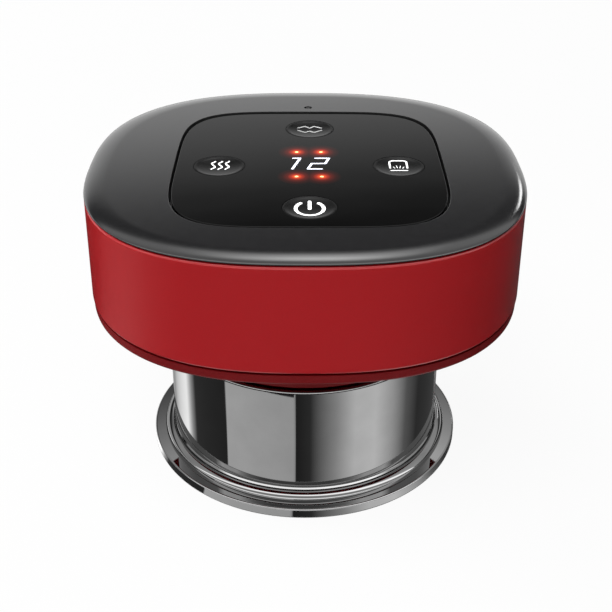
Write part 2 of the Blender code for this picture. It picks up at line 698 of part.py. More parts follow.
def touch_panel(head):
    """The gloss panel in the bezel's pocket, with a hole for each key."""
    rings = []
    for inset, z in (
        (PANEL_EDGE, PANEL_BOTTOM),
        (0, PANEL_BOTTOM + PANEL_EDGE),
        (0, PANEL_TOP - PANEL_EDGE),
        (PANEL_EDGE, PANEL_TOP),
    ):
        rings.append(panel_ring(inset, z))
    part = add_object("touch_panel", loft(rings), "black_gloss", head)
    for name, (x, y) in KEY_PLACES.items():
        hole = rod(KEY_RADIUS + KEY_CLEARANCE, PANEL_BOTTOM - CUT_OVERRUN, PANEL_TOP + CUT_OVERRUN, KEY_STEPS)
        cut(part, add_object(f"{name}_hole", place(hole, (x, y, 0))))
    return part


def switch_top():
    return ON_BOARD + SWITCH_HEIGHT + SWITCH_DOME_HEIGHT


def key(name, x, y):
    """A dished round key with the flange that holds it under the panel and the stem that presses its switch."""
    flange_top = PANEL_BOTTOM - SEAT_GAP
    flange_bottom = flange_top - KEY_FLANGE_THICKNESS
    stem_bottom = switch_top() + KEY_TRAVEL + KEY_TRAVEL_MARGIN
    base = stem_bottom
    dish_radius = KEY_RADIUS - 2 * KEY_RIM_WIDTH
    profile = [
        (0, 0),
        (KEY_STEM_RADIUS, 0),
        (KEY_STEM_RADIUS, flange_bottom - base),
        (KEY_FLANGE_RADIUS, flange_bottom - base),
        (KEY_FLANGE_RADIUS, flange_top - base),
        (KEY_RADIUS, flange_top - base),
        (KEY_RADIUS, PANEL_TOP - KEY_RIM_WIDTH / 2 - base),
        (KEY_RADIUS - KEY_RIM_WIDTH / 2, PANEL_TOP - base),
        (KEY_RADIUS - KEY_RIM_WIDTH, PANEL_TOP - base),
    ]
    for step in range(4):
        share = 1 - step / 3
        drop = KEY_DISH_DEPTH * (1 - share**2)
        profile.append((dish_radius * share, PANEL_TOP - KEY_RIM_DROP - drop - base))
    return add_object(name, turned(profile, KEY_STEPS), "key_gloss", pivot(f"{name}_axis", (x, y, base)))


def main_board(head):
    """The control board, hung under the bezel by two screws."""
    rings = [square_ring(BOARD_HALF, BOARD_SQUARENESS, z) for z in (BOARD_BOTTOM, BOARD_TOP)]
    part = add_object("main_board", loft(rings), "circuit_green", head)
    for number, side in enumerate((-1, 1), 1):
        hole = rod(BOARD_SCREW_RADIUS + SCREW_CLEARANCE, BOARD_BOTTOM - CUT_OVERRUN, BOARD_TOP + CUT_OVERRUN)
        cut(part, add_object(f"board_hole_{number}", place(hole, (side * BOARD_SCREW_X, 0, 0))))
    return part


def screw(name, head, where, sizes, finish_name="steel"):
    """A flat-headed screw that stands on its head, with a cross slot in the head's underside."""
    radius, head_radius, head_height, length = sizes
    profile = [
        (0, 0),
        (head_radius, 0),
        (head_radius, head_height),
        (radius, head_height),
        (radius, length),
        (0, length),
    ]
    part = add_object(name, place(turned(profile, SMALL_STEPS), where), finish_name, head)
    for turn in (0, QUARTER_TURN):
        slot = block(
            CROSS_LENGTH_SHARE * head_radius,
            CROSS_WIDTH_SHARE * head_radius,
            2 * CROSS_DEPTH_SHARE * head_height,
        )
        place(slot, (0, 0, -CROSS_DEPTH_SHARE * head_height), turn)
        cut(part, add_object(f"{name}_slot_{round(math.degrees(turn))}", place(slot, where)))
    return part


def base_screws(head):
    bottom = PLATE_BOTTOM
    length = PLATE_THICKNESS + POST_BOTTOM_GAP + BASE_SCREW_GRIP - SEAT_GAP
    sizes = (BASE_SCREW_RADIUS, BASE_SCREW_HEAD_RADIUS, BASE_SCREW_HEAD_HEIGHT, length)
    for number, (x, y) in enumerate(post_places(), 1):
        screw(f"base_screw_{number}", head, (x, y, bottom), sizes)


def board_screws(head):
    bottom = UNDER_BOARD - BOARD_SCREW_HEAD_HEIGHT
    length = BOARD_SCREW_HEAD_HEIGHT + SEAT_GAP + BOARD_THICKNESS + SEAT_GAP + BOARD_SCREW_GRIP
    sizes = (BOARD_SCREW_RADIUS, BOARD_SCREW_HEAD_RADIUS, BOARD_SCREW_HEAD_HEIGHT, length)
    for number, side in enumerate((-1, 1), 1):
        screw(f"board_screw_{number}", head, (side * BOARD_SCREW_X, 0, bottom), sizes)


def tact_switches(head):
    """A dome switch under each key."""
    for number, (x, y) in enumerate(KEY_PLACES.values(), 1):
        body = block(SWITCH_WIDTH, SWITCH_WIDTH, SWITCH_HEIGHT)
        part = add_object(f"tact_switch_{number}", place(body, (x, y, ON_BOARD)), "steel", head)
        dome = rod(SWITCH_DOME_RADIUS, ON_BOARD + SWITCH_HEIGHT / 2, switch_top())
        join(part, add_object(f"switch_dome_{number}", place(dome, (x, y, 0))))


def board_parts(head):
    """The controller chip on top of the board and the buzzer under it."""
    chip = block(CHIP_WIDTH, CHIP_WIDTH, CHIP_HEIGHT, CHIP_EDGE, 1)
    add_object("controller_chip", place(chip, (CHIP_X, CHIP_Y, ON_BOARD)), "black_plastic", head)
    bottom = UNDER_BOARD - BUZZER_HEIGHT
    profile = [
        (0, BUZZER_HEIGHT),
        (BUZZER_RADIUS, BUZZER_HEIGHT),
        (BUZZER_RADIUS, 0),
        (BUZZER_HOLE, 0),
        (BUZZER_HOLE, BUZZER_HEIGHT / 2),
        (0, BUZZER_HEIGHT / 2),
    ]
    buzzer = turned(profile, KEY_STEPS)
    add_object("buzzer", place(buzzer, (BUZZER_X, BUZZER_Y, bottom)), "black_plastic", head)


def display(head):
    """The two-figure display, its four lights and the mask that keeps their glow apart."""
    body = block(DISPLAY_WIDTH, DISPLAY_LENGTH, DISPLAY_HEIGHT)
    add_object("display_module", place(body, (PANEL_X, PANEL_Y, ON_BOARD)), "white_plastic", head)
    mask_width = DISPLAY_WIDTH + 2 * MASK_BORDER
    mask_length = 2 * (LIGHT_Y + LIGHT_LENGTH / 2 + MASK_BORDER)
    mask_height = LEDGE_TOP - ON_BOARD
    mask = block(mask_width, mask_length, mask_height)
    part = add_object("light_mask", place(mask, (PANEL_X, PANEL_Y, ON_BOARD)), "black_plastic", head)
    window = block(
        DISPLAY_WIDTH + 2 * SEAT_GAP,
        DISPLAY_LENGTH + 2 * SEAT_GAP,
        mask_height + 2 * CUT_OVERRUN,
    )
    below = ON_BOARD - CUT_OVERRUN
    cut(part, add_object("display_window", place(window, (PANEL_X, PANEL_Y, below))))
    for number, (x, y) in enumerate(CORNERS, 1):
        where = (PANEL_X + x * LIGHT_X, PANEL_Y + y * LIGHT_Y)
        light = block(LIGHT_WIDTH, LIGHT_LENGTH, LIGHT_HEIGHT)
        add_object(f"indicator_led_{number}", place(light, (*where, ON_BOARD)), "red_light", head)
        pocket = block(
            LIGHT_WIDTH + 2 * SEAT_GAP,
            LIGHT_LENGTH + 2 * SEAT_GAP,
            mask_height + 2 * CUT_OVERRUN,
        )
        cut(part, add_object(f"led_window_{number}", place(pocket, (*where, below))))


def charge_light_pipe(head):
    """The clear pin that carries the charging light up to the pinhole."""
    flange_top = LEDGE_BOTTOM - SEAT_GAP
    profile = [
        (0, ON_BOARD),
        (PIPE_RADIUS, ON_BOARD),
        (PIPE_RADIUS, flange_top - PIPE_FLANGE_HEIGHT),
        (PIPE_FLANGE_RADIUS, flange_top - PIPE_FLANGE_HEIGHT),
        (PIPE_FLANGE_RADIUS, flange_top),
        (PIPE_RADIUS, flange_top),
        (PIPE_RADIUS, BEZEL_TOP - PIPE_TOP_RECESS),
        (0, BEZEL_TOP - PIPE_TOP_RECESS),
    ]
    bm = place(turned(profile, SMALL_STEPS), (PANEL_X, PINHOLE_Y, 0))
    return add_object("charge_light_pipe", bm, "clear_plastic", head)


def usb_socket(head):
    """The charging socket under the board: an oval steel can with its contact tongue."""
    front = shell_half_at(socket_middle()) - SOCKET_SET_BACK
    back = front - SOCKET_LENGTH
    can = place(stadium(SOCKET_WIDTH, SOCKET_HEIGHT, SOCKET_LENGTH), (0, back, socket_middle()))
    part = add_object("usb_socket", can, "steel", head)
    mouth = stadium(
        SOCKET_WIDTH - 2 * SOCKET_WALL,
        SOCKET_HEIGHT - 2 * SOCKET_WALL,
        SOCKET_DEPTH + CUT_OVERRUN,
    )
    cut(part, add_object("socket_mouth", place(mouth, (0, front - SOCKET_DEPTH, socket_middle()))))
    root = front - SOCKET_DEPTH - SOCKET_WALL
    tongue = block(SOCKET_TONGUE_WIDTH, SOCKET_TONGUE_LENGTH + SOCKET_WALL, SOCKET_TONGUE_HEIGHT)
    where = (0, root + (SOCKET_TONGUE_LENGTH + SOCKET_WALL) / 2, socket_middle() - SOCKET_TONGUE_HEIGHT / 2)
    join(part, add_object("socket_tongue", place(tongue, where)))
    return part


def battery(head):
    """The flat cell that lies on the plate behind the pump."""
    bm = block(BATTERY_WIDTH, BATTERY_LENGTH, BATTERY_HEIGHT, BATTERY_EDGE)
    return add_object("battery", place(bm, (0, BATTERY_Y, ON_PLATE)), "battery_wrap", head)


def along_x(bm, x):
    """Lay a piece that was turned round Z along the pump's axis, with its bottom at x."""
    return place(bm, (x, PUMP_AXIS_Y, MOTOR_AXIS_Z), QUARTER_TURN, "Y")


def pump_motor(head):
    """The motor's can, with the bearing hole that its shaft turns in."""
    right = PUMP_LEFT - SEAT_GAP
    bearing = SHAFT_RADIUS + SHAFT_CLEARANCE
    profile = [
        (0, 0),
        (MOTOR_RADIUS - MOTOR_EDGE, 0),
        (MOTOR_RADIUS, MOTOR_EDGE),
        (MOTOR_RADIUS, MOTOR_LENGTH - MOTOR_EDGE),
        (MOTOR_RADIUS - MOTOR_EDGE, MOTOR_LENGTH),
        (bearing, MOTOR_LENGTH),
        (bearing, MOTOR_LENGTH - BEARING_DEPTH),
        (0, MOTOR_LENGTH - BEARING_DEPTH),
    ]
    bm = along_x(turned(profile, KEY_STEPS), right - MOTOR_LENGTH)
    return add_object("pump_motor", bm, "steel", head)


def motor_sleeve(head):
    """The rubber sleeve that seats the motor in the base."""
    bore = MOTOR_RADIUS + SEAT_GAP
    left = PUMP_LEFT - SEAT_GAP - MOTOR_LENGTH / 2 - SLEEVE_LENGTH / 2
    bm = along_x(pipe(bore + SLEEVE_THICKNESS, bore, 0, SLEEVE_LENGTH, KEY_STEPS), left)
    return add_object("motor_sleeve", bm, "black_rubber", head)


def motor_shaft():
    """The shaft with its crank disc, which turns in the motor and the pump head."""
    start = PUMP_LEFT - SEAT_GAP - BEARING_DEPTH + SEAT_GAP
    crank_start = PUMP_LEFT + CRANK_FROM_FACE
    axis = pivot("pump_shaft_axis", (crank_start, PUMP_AXIS_Y, MOTOR_AXIS_Z))
    shaft = rod(SHAFT_RADIUS, start - crank_start, CRANK_LENGTH / 2)
    part = add_object("motor_shaft", place(shaft, (0, 0, 0), QUARTER_TURN, "Y"), "steel", axis)
    disc = rod(CRANK_RADIUS, 0, CRANK_LENGTH, KEY_STEPS)
    place(disc, (0, 0, 0), QUARTER_TURN, "Y")
    join(part, add_object("crank_disc", place(disc, (0, CRANK_OFFSET, 0)), parent=axis))
    return part


def pump_head(head):
    """The pump's block: crank pocket, diaphragm bore, inlet spout and hose barb."""
    middle_x = PUMP_LEFT + PUMP_LENGTH / 2
    bottom = ON_CAVITY_FLOOR
    top = bottom + PUMP_HEIGHT
    body = place(block(PUMP_LENGTH, PUMP_WIDTH, PUMP_HEIGHT, PUMP_EDGE, 1), (middle_x, PUMP_AXIS_Y, bottom))
    part = add_object("pump_head", body, "black_plastic", head)
    pocket = rod(CRANK_POCKET_RADIUS, -CUT_OVERRUN, CRANK_POCKET_DEPTH, KEY_STEPS)
    cut(part, add_object("crank_pocket", along_x(pocket, PUMP_LEFT)))
    bore_x = PUMP_LEFT + CRANK_POCKET_RADIUS
    bore = rod(CRANK_RADIUS, MOTOR_AXIS_Z, top + CUT_OVERRUN, KEY_STEPS)
    cut(part, add_object("diaphragm_bore", place(bore, (bore_x, PUMP_AXIS_Y, 0))))
    spout = rod(INLET_RADIUS, bottom - INLET_LENGTH, bottom + PUMP_EDGE)
    join(part, add_object("inlet_spout", place(spout, (0, 0, 0))))
    barb = rod(BARB_RADIUS, 0, BARB_LENGTH + PUMP_EDGE)
    where = (0, PUMP_FRONT + PUMP_EDGE, hose_z())
    join(part, add_object("pump_barb", place(barb, where, QUARTER_TURN, "X")))
    return part


def pump_top(head):
    """The diaphragm and the valve cap clamped over it."""
    x = PUMP_LEFT + PUMP_LENGTH / 2
    bottom = ON_CAVITY_FLOOR + PUMP_HEIGHT + SEAT_GAP
    disc = rod(DIAPHRAGM_RADIUS, bottom, bottom + DIAPHRAGM_THICKNESS, KEY_STEPS)
    add_object("pump_diaphragm", place(disc, (x, PUMP_AXIS_Y, 0)), "black_rubber", head)
    cap_bottom = bottom + DIAPHRAGM_THICKNESS + SEAT_GAP
    cap = block(PUMP_LENGTH, PUMP_WIDTH, PUMP_CAP_HEIGHT, PUMP_EDGE / 2, 1)
    add_object("pump_cap", place(cap, (x, PUMP_AXIS_Y, cap_bottom)), "white_plastic", head)


def inlet_collar(head):
    """The rubber collar that seals the pump's spout in the base's air hole."""
    bore = INLET_RADIUS + SEAT_GAP
    bottom = CAVITY_FLOOR - INLET_COLLAR_HEIGHT
    bm = pipe(AIR_HOLE_RADIUS - SEAT_GAP, bore, bottom, CAVITY_FLOOR, KEY_STEPS)
    return add_object("inlet_collar", bm, "silicone", head)


def hose_z():
    return ON_PLATE + HOSE_Z_SHARE * VALVE_HEIGHT


def release_valve(head):
    """The solenoid valve that lets air back into the cup."""
    body = place(block(VALVE_WIDTH, VALVE_WIDTH, VALVE_HEIGHT, VALVE_EDGE, 1), (0, VALVE_Y, ON_PLATE))
    part = add_object("release_valve", body, "black_plastic", head)
    top = ON_PLATE + VALVE_HEIGHT
    bore = rod(PLUNGER_RADIUS + SEAT_GAP, top - VALVE_BORE_DEPTH, top + CUT_OVERRUN, KEY_STEPS)
    cut(part, add_object("valve_bore", place(bore, (0, VALVE_Y, 0))))
    barb = rod(BARB_RADIUS, -VALVE_EDGE, BARB_LENGTH)
    join(part, add_object("valve_barb", place(barb, (0, VALVE_BACK, hose_z()), -QUARTER_TURN, "X")))
    return part


def valve_plunger():
    """The plunger that the solenoid pulls down against its spring."""
    valve_top = ON_PLATE + VALVE_HEIGHT
    bottom = valve_top - PLUNGER_IN_VALVE
    shaft_length = PLUNGER_IN_VALVE + SEAT_GAP + SPRING_HEIGHT + SEAT_GAP
    profile = [
        (0, 0),
        (PLUNGER_RADIUS, 0),
        (PLUNGER_RADIUS, shaft_length),
        (PLUNGER_CAP_RADIUS, shaft_length),
        (PLUNGER_CAP_RADIUS, shaft_length + PLUNGER_CAP_HEIGHT),
        (0, shaft_length + PLUNGER_CAP_HEIGHT),
    ]
    axis = pivot("valve_plunger_axis", (0, VALVE_Y, bottom))
    return add_object("valve_plunger", turned(profile, KEY_STEPS), "steel", axis)


def valve_spring(head):
    """The coil spring between the valve and the plunger's cap."""
    low = ON_PLATE + VALVE_HEIGHT + SEAT_GAP + SPRING_WIRE_RADIUS
    rise = SPRING_HEIGHT - 2 * SPRING_WIRE_RADIUS
    count = SPRING_TURNS * SPRING_POINTS_PER_TURN
    curve = bpy.data.curves.new("valve_spring", "CURVE")
    curve.dimensions = "3D"
    curve.bevel_depth = SPRING_WIRE_RADIUS
    curve.bevel_resolution = 1
    curve.use_fill_caps = True
    spline = curve.splines.new("POLY")
    spline.points.add(count)
    for step in range(count + 1):
        angle = 2 * math.pi * step / SPRING_POINTS_PER_TURN
        x = SPRING_RADIUS * math.cos(angle)
        y = SPRING_RADIUS * math.sin(angle)
        spline.points[step].co = (x, y, low + rise * step / count, 1)
    curve.materials.append(finish("steel"))
    part = bpy.data.objects.new("valve_spring", curve)
    part.location = (0, VALVE_Y, 0)
    bpy.context.collection.objects.link(part)
    part.parent = head
    return part


def release_hose(head):
    """The silicone hose pushed over the pump's and the valve's barbs."""
    start = VALVE_BACK + SEAT_GAP
    end = PUMP_FRONT - SEAT_GAP
    bore = BARB_RADIUS + SEAT_GAP
    hose = pipe(bore + HOSE_WALL, bore, 0, end - start)
    place(hose, (0, start, hose_z()), -QUARTER_TURN, "X")
    return add_object("release_hose", hose, "silicone", head)


def warming_lamps(head):
    """The lamp board in the spigot's recess, its lamps and the lens that closes it."""
    radius = RECESS_RADIUS - SEAT_GAP
    board_top = RECESS_CEILING - SEAT_GAP
    board_bottom = board_top - LAMP_BOARD_THICKNESS
    board = pipe(radius, LAMP_HOLE_RADIUS, board_bottom, board_top, RING_STEPS)
    add_object("lamp_board", board, "circuit_green", head)
    for number, (x, y) in enumerate(on_circle(LAMP_COUNT, LAMP_CIRCLE), 1):
        lamp = block(LAMP_WIDTH, LAMP_WIDTH, LAMP_HEIGHT)
        where = (x, y, board_bottom - SEAT_GAP - LAMP_HEIGHT)
        add_object(f"warm_lamp_{number}", place(lamp, where), "red_light", head)
    lens = pipe(radius, LENS_HOLE_RADIUS, SPIGOT_BOTTOM, SPIGOT_BOTTOM + LENS_THICKNESS, RING_STEPS)
    add_object("lamp_lens", lens, "clear_plastic", head)


def air_filter(head):
    """The felt disc and the pierced cap that holds it in the middle of the lens."""
    disc_top = RECESS_CEILING - SEAT_GAP
    disc_radius = LAMP_HOLE_RADIUS - SEAT_GAP
    disc = rod(disc_radius, disc_top - FILTER_THICKNESS, disc_top, KEY_STEPS)
    add_object("filter_disc", disc, "filter_felt", head)
    outer = LENS_HOLE_RADIUS - SEAT_GAP
    inner = outer - FILTER_CAP_WALL
    bottom = SPIGOT_BOTTOM - FILTER_CAP_DROP
    floor = bottom + FILTER_CAP_FLOOR
    top = bottom + FILTER_CAP_HEIGHT
    profile = [
        (0, bottom),
        (outer - FILTER_CAP_DROP, bottom),
        (outer, bottom + FILTER_CAP_DROP),
        (outer, top),
        (inner, top),
        (inner, floor),
        (0, floor),
    ]
    cap = add_object("filter_cap", turned(profile, KEY_STEPS), "black_plastic", head)
    for number, (x, y) in enumerate(on_circle(FILTER_HOLE_COUNT, FILTER_HOLE_CIRCLE), 1):
        hole = rod(FILTER_HOLE_RADIUS, bottom - CUT_OVERRUN, floor + CUT_OVERRUN)
        cut(cap, add_object(f"filter_hole_{number}", place(hole, (x, y, 0))))


def main():
    for leftover in list(bpy.data.objects):
        bpy.data.objects.remove(leftover, do_unlink=True)
    head = pivot("head", (0, 0, 0))
    suction_cup()
    base_cover(head)
    seal_ring(head)
    body_shell(head)
    top_bezel(head)
    touch_panel(head)
    for name, (x, y) in KEY_PLACES.items():
        key(name, x, y)
    main_board(head)
    base_screws(head)
    board_screws(head)
    tact_switches(head)
    board_parts(head)
    display(head)
    charge_light_pipe(head)
    usb_socket(head)
    battery(head)
    pump_motor(head)
    motor_sleeve(head)
    motor_shaft()
    pump_head(head)
    pump_top(head)
    inlet_collar(head)
    release_valve(head)
    valve_plunger()
    valve_spring(head)
    release_hose(head)
    warming_lamps(head)
    air_filter(head)


main()
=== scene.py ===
import json
import math

import bmesh
import bpy
from mathutils import Matrix, Vector


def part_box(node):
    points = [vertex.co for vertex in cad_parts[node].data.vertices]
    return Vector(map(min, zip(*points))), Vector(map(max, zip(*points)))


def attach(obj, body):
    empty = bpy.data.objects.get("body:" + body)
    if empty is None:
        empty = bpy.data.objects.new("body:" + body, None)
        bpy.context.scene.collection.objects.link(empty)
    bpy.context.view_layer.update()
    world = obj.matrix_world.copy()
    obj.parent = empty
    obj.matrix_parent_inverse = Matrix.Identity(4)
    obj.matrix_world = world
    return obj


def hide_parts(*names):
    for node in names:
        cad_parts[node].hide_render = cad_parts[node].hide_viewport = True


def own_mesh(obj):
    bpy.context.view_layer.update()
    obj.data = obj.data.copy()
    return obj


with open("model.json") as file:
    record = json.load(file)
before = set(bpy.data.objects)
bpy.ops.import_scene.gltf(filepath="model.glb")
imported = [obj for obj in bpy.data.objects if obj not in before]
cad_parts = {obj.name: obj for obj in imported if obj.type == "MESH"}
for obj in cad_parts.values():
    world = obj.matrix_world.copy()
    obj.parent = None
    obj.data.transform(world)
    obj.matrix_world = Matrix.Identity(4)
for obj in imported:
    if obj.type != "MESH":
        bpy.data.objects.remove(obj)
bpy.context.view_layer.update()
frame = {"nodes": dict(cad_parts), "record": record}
nodes = frame["nodes"]
mm = 0.001
print("frame loaded:", len(nodes), "nodes")


# small helpers
def linear(code):
    # an sRGB hex colour as Blender's linear numbers
    channels = [int(code[i : i + 2], 16) / 255 for i in (0, 2, 4)]
    return (*[c / 12.92 if c <= 0.04045 else ((c + 0.055) / 1.055) ** 2.4 for c in channels], 1)


def grey(level):
    return (level, level, level, 1)


def addNode(tree, kind, settings=None, links=None, values=None, stops=None):
    # a shader node with its properties, what feeds its inputs, the values of others and a ramp's stops
    node = tree.nodes.new("ShaderNode" + kind)
    for name, value in (settings or {}).items():
        setattr(node, name, value)
    for name, value in (values or {}).items():
        node.inputs[name].default_value = value
    for name, source in (links or {}).items():
        tree.links.new(source, node.inputs[name])
    if stops:
        elements = node.color_ramp.elements
        while len(elements) > 1:
            elements.remove(elements[-1])
        elements[0].position, elements[0].color = stops[0]
        for place, color in stops[1:]:
            elements.new(place).color = color
    return node


def newMaterial(name):
    material = bpy.data.materials.new(name)
    material.use_nodes = True
    tree = material.node_tree
    return material, tree, tree.nodes["Principled BSDF"]


def showInstead(tree, source):
    # the material shows this node alone, without its usual shader
    tree.nodes.remove(tree.nodes["Principled BSDF"])
    tree.links.new(source, tree.nodes["Material Output"].inputs["Surface"])


def addMesh(name, bm, material=None):
    # a bmesh put in the scene as an object at the origin
    mesh = bpy.data.meshes.new(name)
    bm.to_mesh(mesh)
    bm.free()
    if material:
        mesh.materials.append(material)
    made = bpy.data.objects.new(name, mesh)
    bpy.context.collection.objects.link(made)
    return made


# how the surfaces are shaded: the angles in degrees past which an edge is sharp, how level a face is
# that stays flat, and how long a stretch of an outline is that gets a stop this close to each end
shading = {"sharp": 35, "softer": 50, "softest": 60, "level": 0.9999, "stretch": 1.0 * mm, "edge": 0.06 * mm}
sameSpot = 1e-7


def finishPiece(name, bm, material, body, replaces=(), sharp=shading["sharp"]):
    # put a bmesh in the scene as a piece that rides on a CAD body
    bmesh.ops.remove_doubles(bm, verts=bm.verts, dist=sameSpot)
    bmesh.ops.recalc_face_normals(bm, faces=bm.faces)
    piece = addMesh(name, bm, material)
    piece.data.shade_smooth()
    piece.data.set_sharp_from_angle(angle=math.radians(sharp))
    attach(piece, body)
    if replaces:
        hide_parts(*replaces)
    return piece


def cutHoles(piece, cutters):
    # take each cutter's bmesh out of the piece and fix the result into its mesh
    tools = []
    for number, bm in enumerate(cutters):
        bmesh.ops.recalc_face_normals(bm, faces=bm.faces)
        tool = addMesh(f"{piece.name}Cut{number}", bm)
        tools.append(tool)
        step = piece.modifiers.new(tool.name, "BOOLEAN")
        step.operation = "DIFFERENCE"
        step.object = tool
    graph = bpy.context.evaluated_depsgraph_get()
    mesh = bpy.data.meshes.new_from_object(piece.evaluated_get(graph))
    piece.modifiers.clear()
    piece.data = mesh
    for tool in tools:
        bpy.data.objects.remove(tool)
    # level faces stay flat, so the cuts leave no creases in what they mirror
    for face in mesh.polygons:
        if abs(face.normal.z) > shading["level"]:
            face.use_smooth = False


# shapes
def held(stops, up):
    # stops close to both ends of each long straight stretch, which keep its shading flat
    kept = [stops[0]]
    for first, last in zip(stops, stops[1:]):
        length = math.hypot(last[0] - first[0], last[up] - first[up])
        if length > shading["stretch"]:
            for share in (shading["edge"] / length, 1 - shading["edge"] / length):
                kept.append(tuple(a + (b - a) * share for a, b in zip(first, last)))
        kept.append(last)
    return kept


def squircleLoft(rings, segments=192):
    # one loop of edges extruded from ring to ring; a ring is (halfX, halfY, squareness, z, midX, midY)
    bm = bmesh.new()
    turn = bm.verts.layers.float.new("turn")
    verts = bmesh.ops.create_circle(bm, segments=segments, radius=1)["verts"]
    for vert in verts:
        vert[turn] = math.atan2(vert.co.y, vert.co.x)
    edges = bm.edges[:]
    for step, (halfX, halfY, squareness, z, midX, midY) in enumerate(held(rings, 3)):
        if step:
            grown = bmesh.ops.extrude_edge_only(bm, edges=edges)["geom"]
            verts = [item for item in grown if isinstance(item, bmesh.types.BMVert)]
            newest = set(verts)
            edges = [item for item in grown if isinstance(item, bmesh.types.BMEdge)]
            edges = [edge for edge in edges if newest.issuperset(edge.verts)]
        for vert in verts:
            c, s = math.cos(vert[turn]), math.sin(vert[turn])
            x = math.copysign(abs(c) ** (2 / squareness), c) * halfX
            y = math.copysign(abs(s) ** (2 / squareness), s) * halfY
            vert.co = (midX + x, midY + y, z)
    return bm


def squareRing(half, squareness, z):
    return (half, half, squareness, z, 0, 0)


def roundRing(radius, z):
    return (radius, radius, 2, z, 0, 0)


def turnProfile(profile, segments, middle=(0, 0)):
    # an outline of (radius, height) spun once round Z
    bm = bmesh.new()
    verts = [bm.verts.new((radius, 0, z)) for radius, z in held(profile, 1)]
    edges = [bm.edges.new(pair) for pair in zip(verts, verts[1:])]
    bmesh.ops.spin(
        bm,
        geom=verts + edges,
        cent=(0, 0, 0),
        axis=(0, 0, 1),
        angle=math.tau,
        steps=segments,
        use_merge=True,
    )
    bmesh.ops.translate(bm, verts=bm.verts, vec=(*middle, 0))
    return bm


def arcPoints(middle, radius, start, end, count):
    # points on an arc in the (radius, height) plane, angles in degrees
    points = []
    for step in range(count + 1):
        angle = math.radians(start + (end - start) * step / count)
        points.append((middle[0] + radius * math.cos(angle), middle[1] + radius * math.sin(angle)))
    return points


def roundedCorner(radius, count):
    # (inset, rise) pairs from the flat face round to the wall
    points = []
    for step in range(count + 1):
        angle = math.pi / 2 * step / count
        points.append((radius * (1 - math.sin(angle)), radius * (1 - math.cos(angle))))
    return points


def drillHole(radius, bottom, top, middle, segments=64):
    profile = [(0, bottom), (radius, bottom), (radius, top), (0, top)]
    return turnProfile(profile, segments, middle)


